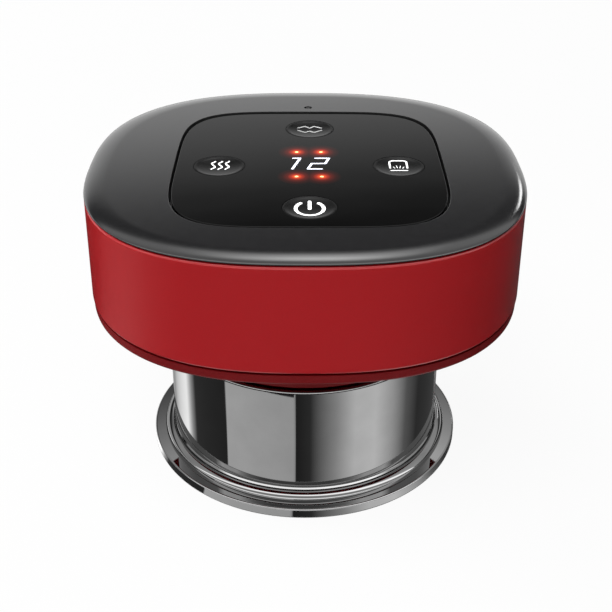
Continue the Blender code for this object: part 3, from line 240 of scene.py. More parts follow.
# materials. Colour runs between two hex codes with the first noise of each, and roughness and relief
# follow the last; a noise is the size of its blobs and its detail. Paint flake, mould grain and fibres
# are several times coarser than the real ones, which would be too fine to show
noiseSpan = (0.3, 0.7)  # the middle part of a noise, over which colour and roughness change
rangeEnds = ("From Min", "From Max", "To Min", "To Max")
sparkGrain = {"noises": [(0.2 * mm, 2.0)], "bump": (0.08, 0.02 * mm)}
lensGrain = {"noises": [(0.5 * mm, 2.0)], "sockets": {"Roughness": 0.5}}
finishes = {
    # ABS sprayed with pearl red and a satin clear coat: soft wide glow, faint orange peel
    "sprayedPearlRedOnAbs": {
        "colors": ("8D0D13", "970F15"),
        "noises": [(0.12 * mm, 1.0), (0.9 * mm, 2.0)],
        "bump": (0.02, 0.01 * mm),
        "sockets": {
            "Roughness": 0.3,
            "Specular IOR Level": 0.32,
            "Coat Weight": 0.45,
            "Coat Roughness": 0.16,
        },
    },
    # dark red ABS straight from the mould, with a fine satin texture
    "mouldedDarkRedAbs": {
        "colors": ("5B0B0E", "660D11"),
        "noises": [(0.25 * mm, 2.0)],
        "roughness": (0.34, 0.42),
        "bump": (0.05, 0.02 * mm),
        "sockets": {"Specular IOR Level": 0.14},
    },
    # ABS ring sprayed gunmetal under a satin clear coat: what it mirrors fades softly across it
    "sprayedGunmetalOnAbs": {
        "colors": ("171718", "1B1B1C"),
        "noises": [(0.16 * mm, 1.0), (1.6 * mm, 2.0)],
        "roughness": (0.11, 0.14),
        "bump": (0.01, 0.02 * mm),
        "sockets": {"Coat Weight": 0.7, "Coat Roughness": 0.10},
    },
    # cast acrylic smoked nearly black and polished: clear dark mirror with faint wipe marks
    "polishedSmokedAcrylic": {
        "colors": ("080808", "0B0B0B"),
        "noises": [(6 * mm, 3.0)],
        "stretch": (0.4, 1, 1),
        "roughness": (0.05, 0.08),
        "sockets": {"IOR": 1.49, "Specular IOR Level": 0.22},
    },
    # moulded black key cap, polished in its dish and a touch greyer than the panel
    "polishedBlackKeyCap": {
        "colors": ("101010", "131313"),
        "noises": [(2 * mm, 3.0)],
        "roughness": (0.20, 0.24),
        "sockets": {"IOR": 1.49, "Specular IOR Level": 0.08},
    },
    # moulded ABS plated with smoked black chrome: hard dark mirror, tiny haze from wiping
    "platedSmokedChrome": {
        "colors": ("8A8A8A", "8F8F8F"),
        "noises": [(5 * mm, 3.0)],
        "roughness": (0.02, 0.04),
        "sockets": {"Metallic": 1.0},
    },
    # black silicone rubber from a blasted mould: dull, with a skin grain
    "mouldedSiliconeRubber": {
        "colors": ("121212", "1C1C1C"),
        "noises": [(0.3 * mm, 3.0)],
        "roughness": (0.62, 0.75),
        "bump": (0.1, 0.02 * mm),
    },
    # glass-epoxy board under green solder mask: faint weave and copper areas showing through
    "solderMaskedGlassEpoxy": {
        "copper": {
            "Color1": linear("1B5A37"),
            "Color2": linear("226B41"),
            "Mortar": linear("143F28"),
            "Scale": 1 / (4 * mm),
            "Mortar Size": 0.06,
        },
        "noises": [(0.5 * mm, 2.0)],
        "roughness": (0.32, 0.42),
        "bump": (0.08, 0.02 * mm),
    },
    # small injection-moulded parts with a fine spark texture; the near-black one is painted shade, laid on
    # the bezel's pocket wall so the gap round the panel stays dark
    "mouldedBlackNylon": {**sparkGrain, "colors": ("171717", "202020"), "roughness": (0.48, 0.60)},
    "mouldedWhiteAbs": {**sparkGrain, "colors": ("E0E0DC", "ECECE8"), "roughness": (0.38, 0.48)},
    "paintedShadeBlackAbs": {**sparkGrain, "colors": ("050505", "090909"), "roughness": (0.55, 0.65)},
    # blue film shrunk round the cell: half glossy, with the faint grain of the film
    "shrunkBlueFilm": {**sparkGrain, "colors": ("335F9C", "4470AE"), "roughness": (0.30, 0.45)},
    # silicone tube as it is extruded: milky and dull
    "extrudedMilkySilicone": {**sparkGrain, "colors": ("CDC9C0", "DDD9D0"), "roughness": (0.50, 0.62)},
    # moulded clear acrylic with a frosted back, so the lamps behind it only glow through
    "frostedClearAcrylic": {
        "colors": ("D9DEE0", "E8ECEE"),
        "noises": [(0.4 * mm, 2.0)],
        "roughness": (0.12, 0.24),
        "bump": (0.05, 0.02 * mm),
        "sockets": {"Transmission Weight": 0.75, "IOR": 1.49},
    },
    # smoked acrylic light pipe, dark until its lamp is lit
    "smokedAcrylicLightPipe": {
        "colors": ("1D1D1D", "262626"),
        "noises": [(0.4 * mm, 2.0)],
        "roughness": (0.30, 0.40),
        "sockets": {"IOR": 1.49},
    },
    # red epoxy of the light-emitting parts, glowing a little
    "castRedLampEpoxy": {
        "colors": ("D8271C", "FF3A28"),
        "noises": [(0.4 * mm, 2.0)],
        "roughness": (0.2, 0.32),
        "sockets": {"Emission Color": linear("FF2A14"), "Emission Strength": 0.6},
    },
    # nickel-plated steel, drawn and tumbled: soft metal sheen with fine lines
    "drawnNickelPlatedSteel": {
        "colors": ("A9ABAD", "BFC1C3"),
        "noises": [(0.25 * mm, 3.0)],
        "stretch": (0.15, 1, 1),
        "roughness": (0.24, 0.36),
        "sockets": {"Metallic": 1.0},
    },
    # pressed white felt: short tangled fibres
    "pressedWhiteFelt": {
        "colors": ("DCDAD0", "F2F0E8"),
        "noises": [(0.15 * mm, 4.0)],
        "tangle": 0.7,
        "bump": (0.5, 0.05 * mm),
        "sockets": {"Roughness": 0.95},
    },
    # prints lit from behind: even glow with the slight mottling of a diffuser. The grey print is not lit, and
    # its faint glow is painted light
    "backlitWhitePrint": {**lensGrain, "colors": ("F0F0F0", "FFFFFF"), "glow": 0.55},
    "greyPrintWithPaintedGlow": {**lensGrain, "colors": ("A8A8A8", "BEBEBE"), "glow": 0.12},
    "coolWhiteDisplaySegment": {**lensGrain, "colors": ("DDE4FF", "F4F6FF"), "glow": 0.8},
    "hotLampCore": {**lensGrain, "colors": ("FFC078", "FFD898"), "glow": 1.0},
}
# which finish each material slot of the CAD nodes gets
slotFinishes = {
    "red_paint": "sprayedPearlRedOnAbs",
    "dark_red_abs": "mouldedDarkRedAbs",
    "dark_grey_satin": "sprayedGunmetalOnAbs",
    "black_gloss": "polishedSmokedAcrylic",
    "key_gloss": "polishedBlackKeyCap",
    "black_chrome": "platedSmokedChrome",
    "black_rubber": "mouldedSiliconeRubber",
    "circuit_green": "solderMaskedGlassEpoxy",
    "black_plastic": "mouldedBlackNylon",
    "white_plastic": "mouldedWhiteAbs",
    "clear_plastic": "frostedClearAcrylic",
    "red_light": "castRedLampEpoxy",
    "steel": "drawnNickelPlatedSteel",
    "battery_wrap": "shrunkBlueFilm",
    "silicone": "extrudedMilkySilicone",
    "filter_felt": "pressedWhiteFelt",
}


def makeFinish(name, facts):
    material, tree, shader = newMaterial(name)
    place = addNode(tree, "TexCoord").outputs["Object"]
    stretch = {"Scale": facts.get("stretch", (1, 1, 1))}
    mapping = addNode(tree, "Mapping", links={"Vector": place}, values=stretch)
    noises = []
    for size, detail in facts["noises"]:
        grain = {"Scale": 1 / size, "Detail": detail, "Roughness": facts.get("tangle", 0.5)}
        noise = addNode(tree, "TexNoise", links={"Vector": mapping.outputs["Vector"]}, values=grain)
        noises.append(noise.outputs["Fac"])
    if "copper" in facts:
        color = addNode(tree, "TexBrick", links={"Vector": place}, values=facts["copper"])
    else:
        stops = [(end, linear(code)) for end, code in zip(noiseSpan, facts["colors"])]
        color = addNode(tree, "ValToRGB", links={"Fac": noises[0]}, stops=stops)
    tree.links.new(color.outputs["Color"], shader.inputs["Base Color"])
    if "roughness" in facts:
        ends = dict(zip(rangeEnds, (*noiseSpan, *facts["roughness"])))
        tone = addNode(tree, "MapRange", links={"Value": noises[-1]}, values=ends)
        tree.links.new(tone.outputs["Result"], shader.inputs["Roughness"])
    if "bump" in facts:
        relief = dict(zip(("Strength", "Distance"), facts["bump"]))
        bump = addNode(tree, "Bump", links={"Height": noises[-1]}, values=relief)
        tree.links.new(bump.outputs["Normal"], shader.inputs["Normal"])
    if "glow" in facts:
        tree.links.new(color.outputs["Color"], shader.inputs["Emission Color"])
        shader.inputs["Emission Strength"].default_value = facts["glow"]
    for socket, value in facts.get("sockets", {}).items():
        shader.inputs[socket].default_value = value
    return material


# red shell
shell = {
    "halfBottom": 40.4 * mm,
    "halfTop": 40.0 * mm,
    "squareBottom": 2.45,
    "squareTop": 2.6,
    "bottom": 38.3 * mm,
    "top": 58.1 * mm,
    "wall": 2.0 * mm,
    "lowerRound": 0.6 * mm,
    "lowerSteps": 6,
    "upperRound": 0.5 * mm,
    "upperSteps": 5,
    "windowWidth": 9.54 * mm,
    "windowHeight": 3.86 * mm,
    "windowMiddle": 50.5 * mm,
    "cutFrom": 0.75,  # the window's cutter starts here and is this deep, in shares of halfTop
    "cutDepth": 0.5,
}


def shellRing(z, inset):
    share = (z - shell["bottom"]) / (shell["top"] - shell["bottom"])
    half = shell["halfBottom"] + (shell["halfTop"] - shell["halfBottom"]) * share - inset
    squareness = shell["squareBottom"] + (shell["squareTop"] - shell["squareBottom"]) * share
    return squareRing(half, squareness, z)


def socketWindow():
    # a flat-sided oval bar along +Y, through the back wall
    width, height = shell["windowWidth"], shell["windowHeight"]
    bm = bmesh.new()
    verts = bmesh.ops.create_circle(bm, segments=48, radius=height / 2, cap_ends=True)["verts"]
    for vert in verts:
        vert.co.x += math.copysign((width - height) / 2, vert.co.x)
    grown = bmesh.ops.extrude_face_region(bm, geom=bm.faces[:])["geom"]
    moved = [item for item in grown if isinstance(item, bmesh.types.BMVert)]
    bmesh.ops.translate(bm, verts=moved, vec=(0, 0, shell["halfTop"] * shell["cutDepth"]))
    bmesh.ops.rotate(bm, verts=bm.verts, matrix=Matrix.Rotation(-math.pi / 2, 3, "X"))
    start = shell["halfTop"] * shell["cutFrom"]
    bmesh.ops.translate(bm, verts=bm.verts, vec=(0, start, shell["windowMiddle"]))
    return bm


def makeShell(material):
    rings = [shellRing(shell["bottom"], shell["wall"])]
    for inset, rise in roundedCorner(shell["lowerRound"], shell["lowerSteps"]):
        rings.append(shellRing(shell["bottom"] + rise, inset))
    for inset, drop in reversed(roundedCorner(shell["upperRound"], shell["upperSteps"])):
        rings.append(shellRing(shell["top"] - drop, inset))
    rings.append(shellRing(shell["top"], shell["wall"]))
    rings.append(rings[0])
    piece = finishPiece("redShell", squircleLoft(rings), material, "head", ["body_shell"])
    cutHoles(piece, [socketWindow()])


# panel and top bezel
panel = {
    "middle": (0.7 * mm, -0.9 * mm),
    "halfX": 24.5 * mm,
    "halfY": 26.7 * mm,
    "squareness": 4.45,
    "top": 59.1 * mm,
    "bottom": 57.5 * mm,
    "edge": 0.1 * mm,
    "edgeSteps": 3,
    "segments": 160,
}
bezel = {
    "half": 40.0 * mm,
    "bottom": 58.4 * mm,
    "top": 59.2 * mm,
    "edgeWidth": 4.0 * mm,
    "edgeHeight": 0.7 * mm,
    "edgeSteps": 14,
    "skirtBottom": 55.3 * mm,
    "skirtHalf": 37.7 * mm,
    "skirtWall": 1.5 * mm,
    "pocketGap": 0.5 * mm,
    "pocketBack": 0.6 * mm,
    "pocketEdge": 0.04 * mm,
    "pocketSteps": 3,
    # the painted shade on the pocket wall starts this far above the ledge, on faces turned this much towards
    # the panel
    "shadeAbove": 0.1 * mm,
    "shadeFacing": 0.7,
    "ledgeTop": 57.2 * mm,
    "ledgeBottom": 56.0 * mm,
    "ledgeWidth": 1.2 * mm,
    "pinholeRadius": 0.8 * mm,
    "pinholeY": 29.3 * mm,
}


def panelRing(z, inset):
    return (panel["halfX"] - inset, panel["halfY"] - inset, panel["squareness"], z, *panel["middle"])


def pocketRing(z, inset):
    # the panel's outline, with more room behind it than in front
    halfX, halfY, squareness, z, middleX, middleY = panelRing(z, inset)
    more = bezel["pocketBack"] / 2
    return (halfX, halfY + more, squareness, z, middleX, middleY + more)


def makeBezel(material, pocketShadeMaterial):
    square, half, skirt = shell["squareTop"], bezel["half"], bezel["skirtHalf"]
    inner = skirt - bezel["skirtWall"]
    skirts = ((inner, "skirtBottom"), (skirt, "skirtBottom"), (skirt, "bottom"), (half, "bottom"))
    rings = [squareRing(out, square, bezel[level]) for out, level in skirts]
    for step in range(bezel["edgeSteps"] + 1):
        angle = math.pi / 2 * step / bezel["edgeSteps"]
        out = half - bezel["edgeWidth"] * (1 - math.cos(angle))
        rings.append(squareRing(out, square, bezel["top"] - bezel["edgeHeight"] * (1 - math.sin(angle))))
    for inset, drop in roundedCorner(bezel["pocketEdge"], bezel["pocketSteps"]):
        rings.append(pocketRing(bezel["top"] - drop, -bezel["pocketGap"] - inset))
    ledge = bezel["ledgeWidth"] - bezel["pocketGap"]
    rings.append(pocketRing(bezel["ledgeTop"], -bezel["pocketGap"]))
    rings.append(panelRing(bezel["ledgeTop"], ledge))
    rings.append(panelRing(bezel["ledgeBottom"], ledge))
    rings.append(squareRing(inner, square, bezel["ledgeBottom"]))
    rings.append(rings[0])
    bm = squircleLoft(rings)
    piece = finishPiece("gunmetalBezel", bm, material, "head", ["top_bezel"])
    # the pocket's own wall gets painted shade, a near-black finish that keeps the gap round the panel dark
    piece.data.materials.append(pocketShadeMaterial)
    floorEnd = bezel["ledgeTop"] + bezel["shadeAbove"]
    for face in piece.data.polygons:
        inward = Vector((panel["middle"][0] - face.center.x, panel["middle"][1] - face.center.y, 0))
        if face.center.z > floorEnd and face.normal.dot(inward.normalized()) > bezel["shadeFacing"]:
            face.material_index = 1
    middle = (panel["middle"][0], bezel["pinholeY"])
    cutHoles(piece, [drillHole(bezel["pinholeRadius"], bezel["skirtBottom"], bezel["top"] + mm, middle)])


keyCap = {
    "radius": 4.74 * mm,
    "gap": 0.06 * mm,
    "rim": 0.4 * mm,
    "rimDrop": 0.1 * mm,
    "depth": 0.24 * mm,
    "stemRadius": 1.5 * mm,
    "stemBottom": 55.7 * mm,
    "flangeRadius": 5.6 * mm,
    "flangeBottom": 56.2 * mm,
    "flangeTop": 57.2 * mm,
    "rimSteps": 6,
    "dishSteps": 14,
    "segments": 96,
    "places": {
        "mode_key": (0.95 * mm, 17.2 * mm),
        "heat_key": (-15.9 * mm, -1.8 * mm),
        "suction_key": (17.3 * mm, -1.8 * mm),
        "power_key": (0.7 * mm, -19.9 * mm),
    },
}


def makePanel(material):
    edge = roundedCorner(panel["edge"], panel["edgeSteps"])
    rings = [panelRing(panel["bottom"] + rise, inset) for inset, rise in edge]
    rings += [panelRing(panel["top"] - drop, inset) for inset, drop in reversed(edge)]
    bm = squircleLoft(rings, panel["segments"])
    for z in (panel["bottom"], panel["top"]):
        edges = [edge for edge in bm.edges if all(abs(vert.co.z - z) < sameSpot for vert in edge.verts)]
        bmesh.ops.holes_fill(bm, edges=edges, sides=len(edges) + 1)
    piece = finishPiece("acrylicPanel", bm, material, "head", ["touch_panel"])
    hole = (keyCap["radius"] + keyCap["gap"], panel["bottom"] - mm, panel["top"] + mm)
    cutHoles(piece, [drillHole(*hole, place, keyCap["segments"]) for place in keyCap["places"].values()])


def dishHeight(distance):
    # height of a key's dish at a distance from its middle
    share = min(distance / (keyCap["radius"] - 2 * keyCap["rim"]), 1)
    return panel["top"] - keyCap["rimDrop"] - keyCap["depth"] * (1 - share**2)


def makeKeys(material):
    for name, place in keyCap["places"].items():
        radius, rim = keyCap["radius"], keyCap["rim"] / 2
        profile = [
            (0, keyCap["stemBottom"]),
            (keyCap["stemRadius"], keyCap["stemBottom"]),
            (keyCap["stemRadius"], keyCap["flangeBottom"]),
            (keyCap["flangeRadius"], keyCap["flangeBottom"]),
            (keyCap["flangeRadius"], keyCap["flangeTop"]),
            (radius, keyCap["flangeTop"]),
        ]
        profile += arcPoints((radius - rim, panel["top"] - rim), rim, 0, 90, keyCap["rimSteps"])
        dish = radius - 2 * keyCap["rim"]
        profile.append((radius - keyCap["rim"], panel["top"]))
        for step in range(keyCap["dishSteps"] + 1):
            distance = dish * (1 - step / keyCap["dishSteps"])
            profile.append((distance, dishHeight(distance)))
        bm = turnProfile(profile, keyCap["segments"], place)
        finishPiece(name + "Cap", bm, material, name, [name], shading["softest"])


# prints on the keys and the display
printing = {"lift": 0.02 * mm, "flat": 0.05, "rodSides": 10, "ballSides": 12, "ballRings": 8}


def addStroke(bm, points, width):
    # a flat stroke of one width with round ends: a rod along each length and a ball at each point
    for start, end in zip(points, points[1:]):
        along = Vector((end[0] - start[0], end[1] - start[1], 0))
        middle = Vector(((start[0] + end[0]) / 2, (start[1] + end[1]) / 2, 0))
        turned = Matrix.Rotation(math.atan2(along.y, along.x), 4, "Z") @ Matrix.Rotation(math.pi / 2, 4, "Y")
        bmesh.ops.create_cone(
            bm,
            cap_ends=False,
            segments=printing["rodSides"],
            radius1=width / 2,
            radius2=width / 2,
            depth=along.length,
            matrix=Matrix.Translation(middle) @ turned,
        )
    for x, y in points:
        bmesh.ops.create_uvsphere(
            bm,
            u_segments=printing["ballSides"],
            v_segments=printing["ballRings"],
            radius=width / 2,
            matrix=Matrix.Translation((x, y, 0)),
        )


def pressOnto(bm, middle, height):
    # flatten the strokes and lay them on the surface under them
    for vert in bm.verts:
        distance = math.hypot(vert.co.x, vert.co.y)
        vert.co.z = height(distance) + printing["lift"] + vert.co.z * printing["flat"]
        vert.co.x += middle[0]
        vert.co.y += middle[1]


# the keys' signs, in mm from the middle of the key; each sign is a list of (points, width) strokes
signs = {
    "power": {"radius": 2.41, "tall": 1.15, "open": (130, 410), "steps": 36, "bar": 2.75, "width": 0.62},
    "heat": {
        "turns": [(0.4, 2.6), (-0.18, 1.75), (0.48, 0.1), (-0.14, -0.95)],
        "shifts": (-1.29, 0, 1.29),
        "steps": 8,
        "width": 0.32,
    },
    "mode": {
        "zigzag": [(-2.35, 0.62), (-0.9, 1.6), (0, 0.8), (0.88, 1.6), (2.35, 0.62)],
        "middle": 0.45,
        "width": 0.34,
    },
    "suction": {
        "side": (1.6, -0.25),
        "corner": (0.85, 2.2),
        "round": 0.75,
        "bar": (1.5, -1.45),
        "width": 0.34,
        "rays": ([(-1.0, 0.35), (-0.72, -0.3)], [(-0.38, 0.8), (-0.2, -0.2)]),
        "rayWidth": 0.14,
    },
}


def mirrored(points):
    return [(-x, y) for x, y in points]


def powerSign(sign):
    ring = [(x, sign["tall"] * y) for x, y in arcPoints((0, 0), sign["radius"], *sign["open"], sign["steps"])]
    return [(ring, sign["width"]), ([(0, 0), (0, sign["bar"])], sign["width"])]


def heatSign(sign):
    # three upright waves, each a smooth curve through four turning points
    turns = sign["turns"]
    waves = []
    for shift in sign["shifts"]:
        wave = []
        for (x0, y0), (x1, y1) in zip(turns, turns[1:]):
            for step in range(sign["steps"]):
                share = step / sign["steps"]
                swing = (1 - math.cos(math.pi * share)) / 2
                wave.append((shift + x0 + (x1 - x0) * swing, y0 + (y1 - y0) * share))
        waves.append((wave + [(shift + turns[-1][0], turns[-1][1])], sign["width"]))
    return waves


def modeSign(sign):
    # two waves, the second upside down
    return [([(x, sign["middle"] + side * y) for x, y in sign["zigzag"]], sign["width"]) for side in (1, -1)]


def suctionSign(sign):
    # a cup over a line, with rays inside
    side, (x, y), width = sign["side"], sign["corner"], sign["width"]
    left = [(-side[0], side[1]), (-side[0], y), *arcPoints((-x, y), sign["round"], 180, 90, 5)]
    right = [*arcPoints((x, y), sign["round"], 90, 0, 5), side]
    lines = [(left + right, width), (mirrored([sign["bar"]]) + [sign["bar"]], width)]
    for ray in sign["rays"]:
        lines += [(ray, sign["rayWidth"]), (mirrored(ray), sign["rayWidth"])]
    return lines


def makeKeyPrints(material, paintedGlowPrintMaterial):
    drawn = {"power": powerSign, "heat": heatSign, "mode": modeSign, "suction": suctionSign}
    for name, draw in drawn.items():
        bm = bmesh.new()
        for points, width in draw(signs[name]):
            addStroke(bm, [(x * mm, y * mm) for x, y in points], width * mm)
        pressOnto(bm, keyCap["places"][name + "_key"], dishHeight)
        # the mode sign's grey print carries a faint painted glow
        finishPiece(name + "Print", bm, paintedGlowPrintMaterial if name == "mode" else material, name + "_key")


# two seven-segment figures, slanted, in mm from the middle of the panel
display = {
    "slant": 0.28,
    "stroke": 0.46,
    "low": -2.3,
    "high": 2.8,
    "one": [(-3.7, 1.0), (-2.42, 1.0), (-2.42, 0.0)],
    "two": [(0.45, 1.0), (2.95, 1.0), (2.95, 0.5), (0.45, 0.5), (0.45, 0.0), (2.95, 0.0)],
}


def makeDigits(material):
    bm = bmesh.new()
    for name in ("one", "two"):
        figure = []
        for x, share in display[name]:
            y = display["low"] + (display["high"] - display["low"]) * share
            figure.append(((x + display["slant"] * y) * mm, y * mm))
        addStroke(bm, figure, display["stroke"] * mm)
    pressOnto(bm, panel["middle"], lambda distance: panel["top"])
    finishPiece("displayDigits", bm, material, "head")


ledGlow = {
    "x": 2.3 * mm,
    "y": 5.85 * mm,
    "reach": 3.6 * mm,
    "strength": 1.0,
    "core": 0.26 * mm,
    "coreSpread": 1.3,
    "coreSides": 16,
    "coreRings": 8,
    "grid": (48, 64),
    "stops": [
        (0.0, (1.0, 0.42, 0.14, 1)),
        (0.13, (0.95, 0.10, 0.02, 1)),
        (0.27, (0.42, 0.025, 0.008, 1)),
        (0.45, (0.11, 0.006, 0.002, 1)),
        (0.7, (0.028, 0.001, 0, 1)),
        (1.0, (0, 0, 0, 1)),
    ],
}


def makeGlow(name, places):
    # red light spreading in the smoked panel: fades out from each place, clear at its edge
    material, tree, shader = newMaterial(name)
    position = addNode(tree, "TexCoord").outputs["Object"]
    nearest = None
    for place in places:
        gap = addNode(tree, "VectorMath", {"operation": "DISTANCE"}, {0: position}, {1: place})
        found = gap.outputs["Value"]
        if nearest:
            least = addNode(tree, "Math", {"operation": "MINIMUM"}, {0: nearest, 1: found})
            found = least.outputs[0]
        nearest = found
    reach = addNode(tree, "Math", {"operation": "DIVIDE"}, {0: nearest}, {1: ledGlow["reach"]})
    ramp = addNode(tree, "ValToRGB", links={"Fac": reach.outputs[0]}, stops=ledGlow["stops"])
    strength = {"Strength": ledGlow["strength"]}
    emission = addNode(tree, "Emission", links={"Color": ramp.outputs["Color"]}, values=strength)
    clear = addNode(tree, "BsdfTransparent")
    both = addNode(tree, "AddShader", links={0: emission.outputs[0], 1: clear.outputs[0]})
    showInstead(tree, both.outputs["Shader"])
    return material


def makeLedGlow(coreMaterial):
    middle = panel["middle"]
    places = []
    for x in (-1, 1):
        for y in (-1, 1):
            places.append((middle[0] + x * ledGlow["x"], middle[1] + y * ledGlow["y"], panel["top"]))
    bm = bmesh.new()
    bmesh.ops.create_grid(bm, x_segments=ledGlow["grid"][0], y_segments=ledGlow["grid"][1], size=1)
    for vert in bm.verts:
        vert.co.x = middle[0] + vert.co.x * (ledGlow["x"] + ledGlow["reach"])
        vert.co.y = middle[1] + vert.co.y * (ledGlow["y"] + ledGlow["reach"])
        vert.co.z = panel["top"] + printing["lift"] / 2
    finishPiece("ledHalo", bm, makeGlow("redLightInSmokedAcrylic", places), "head")
    cores = bmesh.new()
    spread = Matrix.Diagonal((ledGlow["coreSpread"], ledGlow["coreSpread"], printing["flat"], 1))
    for x, y, z in places:
        bmesh.ops.create_uvsphere(
            cores,
            u_segments=ledGlow["coreSides"],
            v_segments=ledGlow["coreRings"],
            radius=ledGlow["core"],
            matrix=Matrix.Translation((x, y, 0)) @ spread,
        )
    bmesh.ops.translate(cores, verts=cores.verts, vec=(0, 0, panel["top"] + printing["lift"]))
    finishPiece("ledCores", cores, coreMaterial, "head")


# suction cup
cup = {
    "height": 25.8 * mm,
    "wall": 27.05 * mm,
    "shoulder": 0.5 * mm,
    "boreTop": 24.3 * mm,
    "boreChamfer": 0.5 * mm,
    "boreBottom": 25.0 * mm,
    "lipRound": 0.7 * mm,
    "rim": 31.3 * mm,
    "rimRound": 0.35 * mm,
    "flangeTop": 2.1 * mm,
    "bead": 1.4 * mm,
    "beadMiddle": (27.7 * mm, 2.25 * mm),
    "beadArc": (-6, 118, 24),  # from and to in degrees, and the steps between
    "grooveArc": (-60, 0, 3),
    "foot": 4.2 * mm,
    "footGroove": 0.25 * mm,
    "segments": 256,
}


def makeCup(material):
    rim, rimRound, lip = cup["rim"], cup["rimRound"], cup["lipRound"]
    profile = [(cup["boreBottom"] + lip, 0)]
    profile += arcPoints((rim - rimRound, rimRound), rimRound, -90, 0, 4)
    profile += arcPoints((rim - rimRound, cup["flangeTop"] - rimRound), rimRound, 0, 90, 5)
    profile += arcPoints(cup["beadMiddle"], cup["bead"], *cup["beadArc"])
    groove = cup["footGroove"]
    profile.append((cup["wall"] - groove, cup["foot"] - 2 * groove))
    profile += arcPoints((cup["wall"] - groove, cup["foot"]), groove, *cup["grooveArc"])
    shoulder, chamfer = cup["shoulder"], cup["boreChamfer"]
    profile += arcPoints((cup["wall"] - shoulder, cup["height"] - shoulder), shoulder, 0, 90, 8)
    profile += arcPoints((cup["boreTop"] + chamfer, cup["height"] - chamfer), chamfer, 90, 180, 4)
    profile += arcPoints((cup["boreBottom"] + lip, lip), lip, 180, 270, 5)
    bm = turnProfile(profile, cup["segments"])
    finishPiece("platedCup", bm, material, "cup", ["suction_cup"], shading["softer"])


# coil spring under the release valve's cap, which the plunger presses flatter when pulled; here it is built
# at the length of its CAD part
spring = {
    "coil": 2.5 * mm,
    "wire": 0.22 * mm,
    "wireSides": 8,
    "turns": 4,
    "stepsPerTurn": 24,
    "keep": 0.62,
}


def makeSpring(material):
    low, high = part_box("valve_spring")
    steps = spring["turns"] * spring["stepsPerTurn"]
    rise = high[2] - low[2] - 2 * spring["wire"]
    bm = bmesh.new()
    upright = Matrix.Rotation(math.pi / 2, 4, "X")
    bmesh.ops.create_circle(bm, segments=spring["wireSides"], radius=spring["wire"], matrix=upright)
    bmesh.ops.translate(bm, verts=bm.verts, vec=(spring["coil"], 0, low[2] + spring["wire"]))
    bmesh.ops.spin(
        bm,
        geom=bm.verts[:] + bm.edges[:],
        cent=(0, 0, 0),
        axis=(0, 0, 1),
        dvec=(0, 0, rise / steps),
        angle=math.tau * spring["turns"],
        steps=steps,
    )
    bmesh.ops.holes_fill(bm, edges=bm.edges)
    bmesh.ops.translate(bm, verts=bm.verts, vec=((low[0] + high[0]) / 2, (low[1] + high[1]) / 2, 0))
    piece = finishPiece("valveCoil", bm, material, "head", ["valve_spring"], shading["softer"])
    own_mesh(piece)


# red base between the shell and the cup
base = {
    "plateHalf": 40.2 * mm,
    "squareness": 2.45,
    "plateBottom": 36.2 * mm,
    "plateTop": 38.0 * mm,
    "plateRound": 0.5 * mm,
    "lipOuter": 38.1 * mm,
    "lipInner": 36.9 * mm,
    "lipTop": 40.2 * mm,
    "neck": 26.4 * mm,
    "neckBottom": 26.1 * mm,
    "neckRound": 0.4 * mm,
    "spigot": 23.7 * mm,
    "spigotBottom": 22.4 * mm,
    "spigotEdge": 0.4 * mm,
    "groove": 22.1 * mm,
    "grooveBottom": 23.08 * mm,
    "grooveTop": 25.38 * mm,
    "recess": 21.5 * mm,
    "ceiling": 26.0 * mm,
    "floor": 28.4 * mm,
    "airHole": 3.0 * mm,
    "cavity": 24.2 * mm,
    "screwPlace": 27.28 * mm,
    "screwHead": 2.5 * mm,
    "screwShaft": 1.4 * mm,
    "screwSeat": 37.5 * mm,
    "screwSegments": 48,
    "roundSteps": 4,
}


def baseCutters():
    # a stepped screw hole at each corner
    cutters = []
    for x in (-1, 1):
        for y in (-1, 1):
            middle = (x * base["screwPlace"], y * base["screwPlace"])
            profile = [
                (0, base["plateBottom"] - mm),
                (base["screwHead"], base["plateBottom"] - mm),
                (base["screwHead"], base["screwSeat"]),
                (base["screwShaft"], base["screwSeat"]),
                (base["screwShaft"], base["plateTop"] + mm),
                (0, base["plateTop"] + mm),
            ]
            cutters.append(turnProfile(profile, base["screwSegments"], middle))
    return cutters


def makeBase(material):
    spigot, edge, bottom = base["spigot"], base["spigotEdge"], base["spigotBottom"]
    rings = [
        roundRing(base["recess"], bottom),
        roundRing(spigot - edge, bottom),
        roundRing(spigot, bottom + edge),
    ]
    for radius, z in (
        ("spigot", "grooveBottom"),
        ("groove", "grooveBottom"),
        ("groove", "grooveTop"),
        ("spigot", "grooveTop"),
        ("spigot", "neckBottom"),
    ):
        rings.append(roundRing(base[radius], base[z]))
    for inset, rise in roundedCorner(base["neckRound"], base["roundSteps"]):
        rings.append(roundRing(base["neck"] - inset, base["neckBottom"] + rise))
    rings.append(roundRing(base["neck"], base["plateBottom"]))
    for inset, rise in roundedCorner(base["plateRound"], base["roundSteps"]):
        rings.append(squareRing(base["plateHalf"] - inset, base["squareness"], base["plateBottom"] + rise))
    for half, z in (
        (base["plateHalf"], base["plateTop"]),
        (base["lipOuter"], base["plateTop"]),
        (base["lipOuter"], base["lipTop"]),
        (base["lipInner"], base["lipTop"]),
        (base["lipInner"], base["plateTop"]),
    ):
        rings.append(squareRing(half, base["squareness"], z))
    for radius, z in (
        ("cavity", "plateTop"),
        ("cavity", "floor"),
        ("airHole", "floor"),
        ("airHole", "ceiling"),
        ("recess", "ceiling"),
        ("recess", "spigotBottom"),
    ):
        rings.append(roundRing(base[radius], base[z]))
    piece = finishPiece("redBase", squircleLoft(rings), material, "head", ["base_cover"])
    cutHoles(piece, baseCutters())


# studio
studio = {
    "floorSize": 14.0,
    "floorColor": "C4C4C4",
    "floorGlow": (0.935, 1.0),
    "fade": (0.16, 0.8),
    "roughness": 0.9,
    "squares": 4,
}


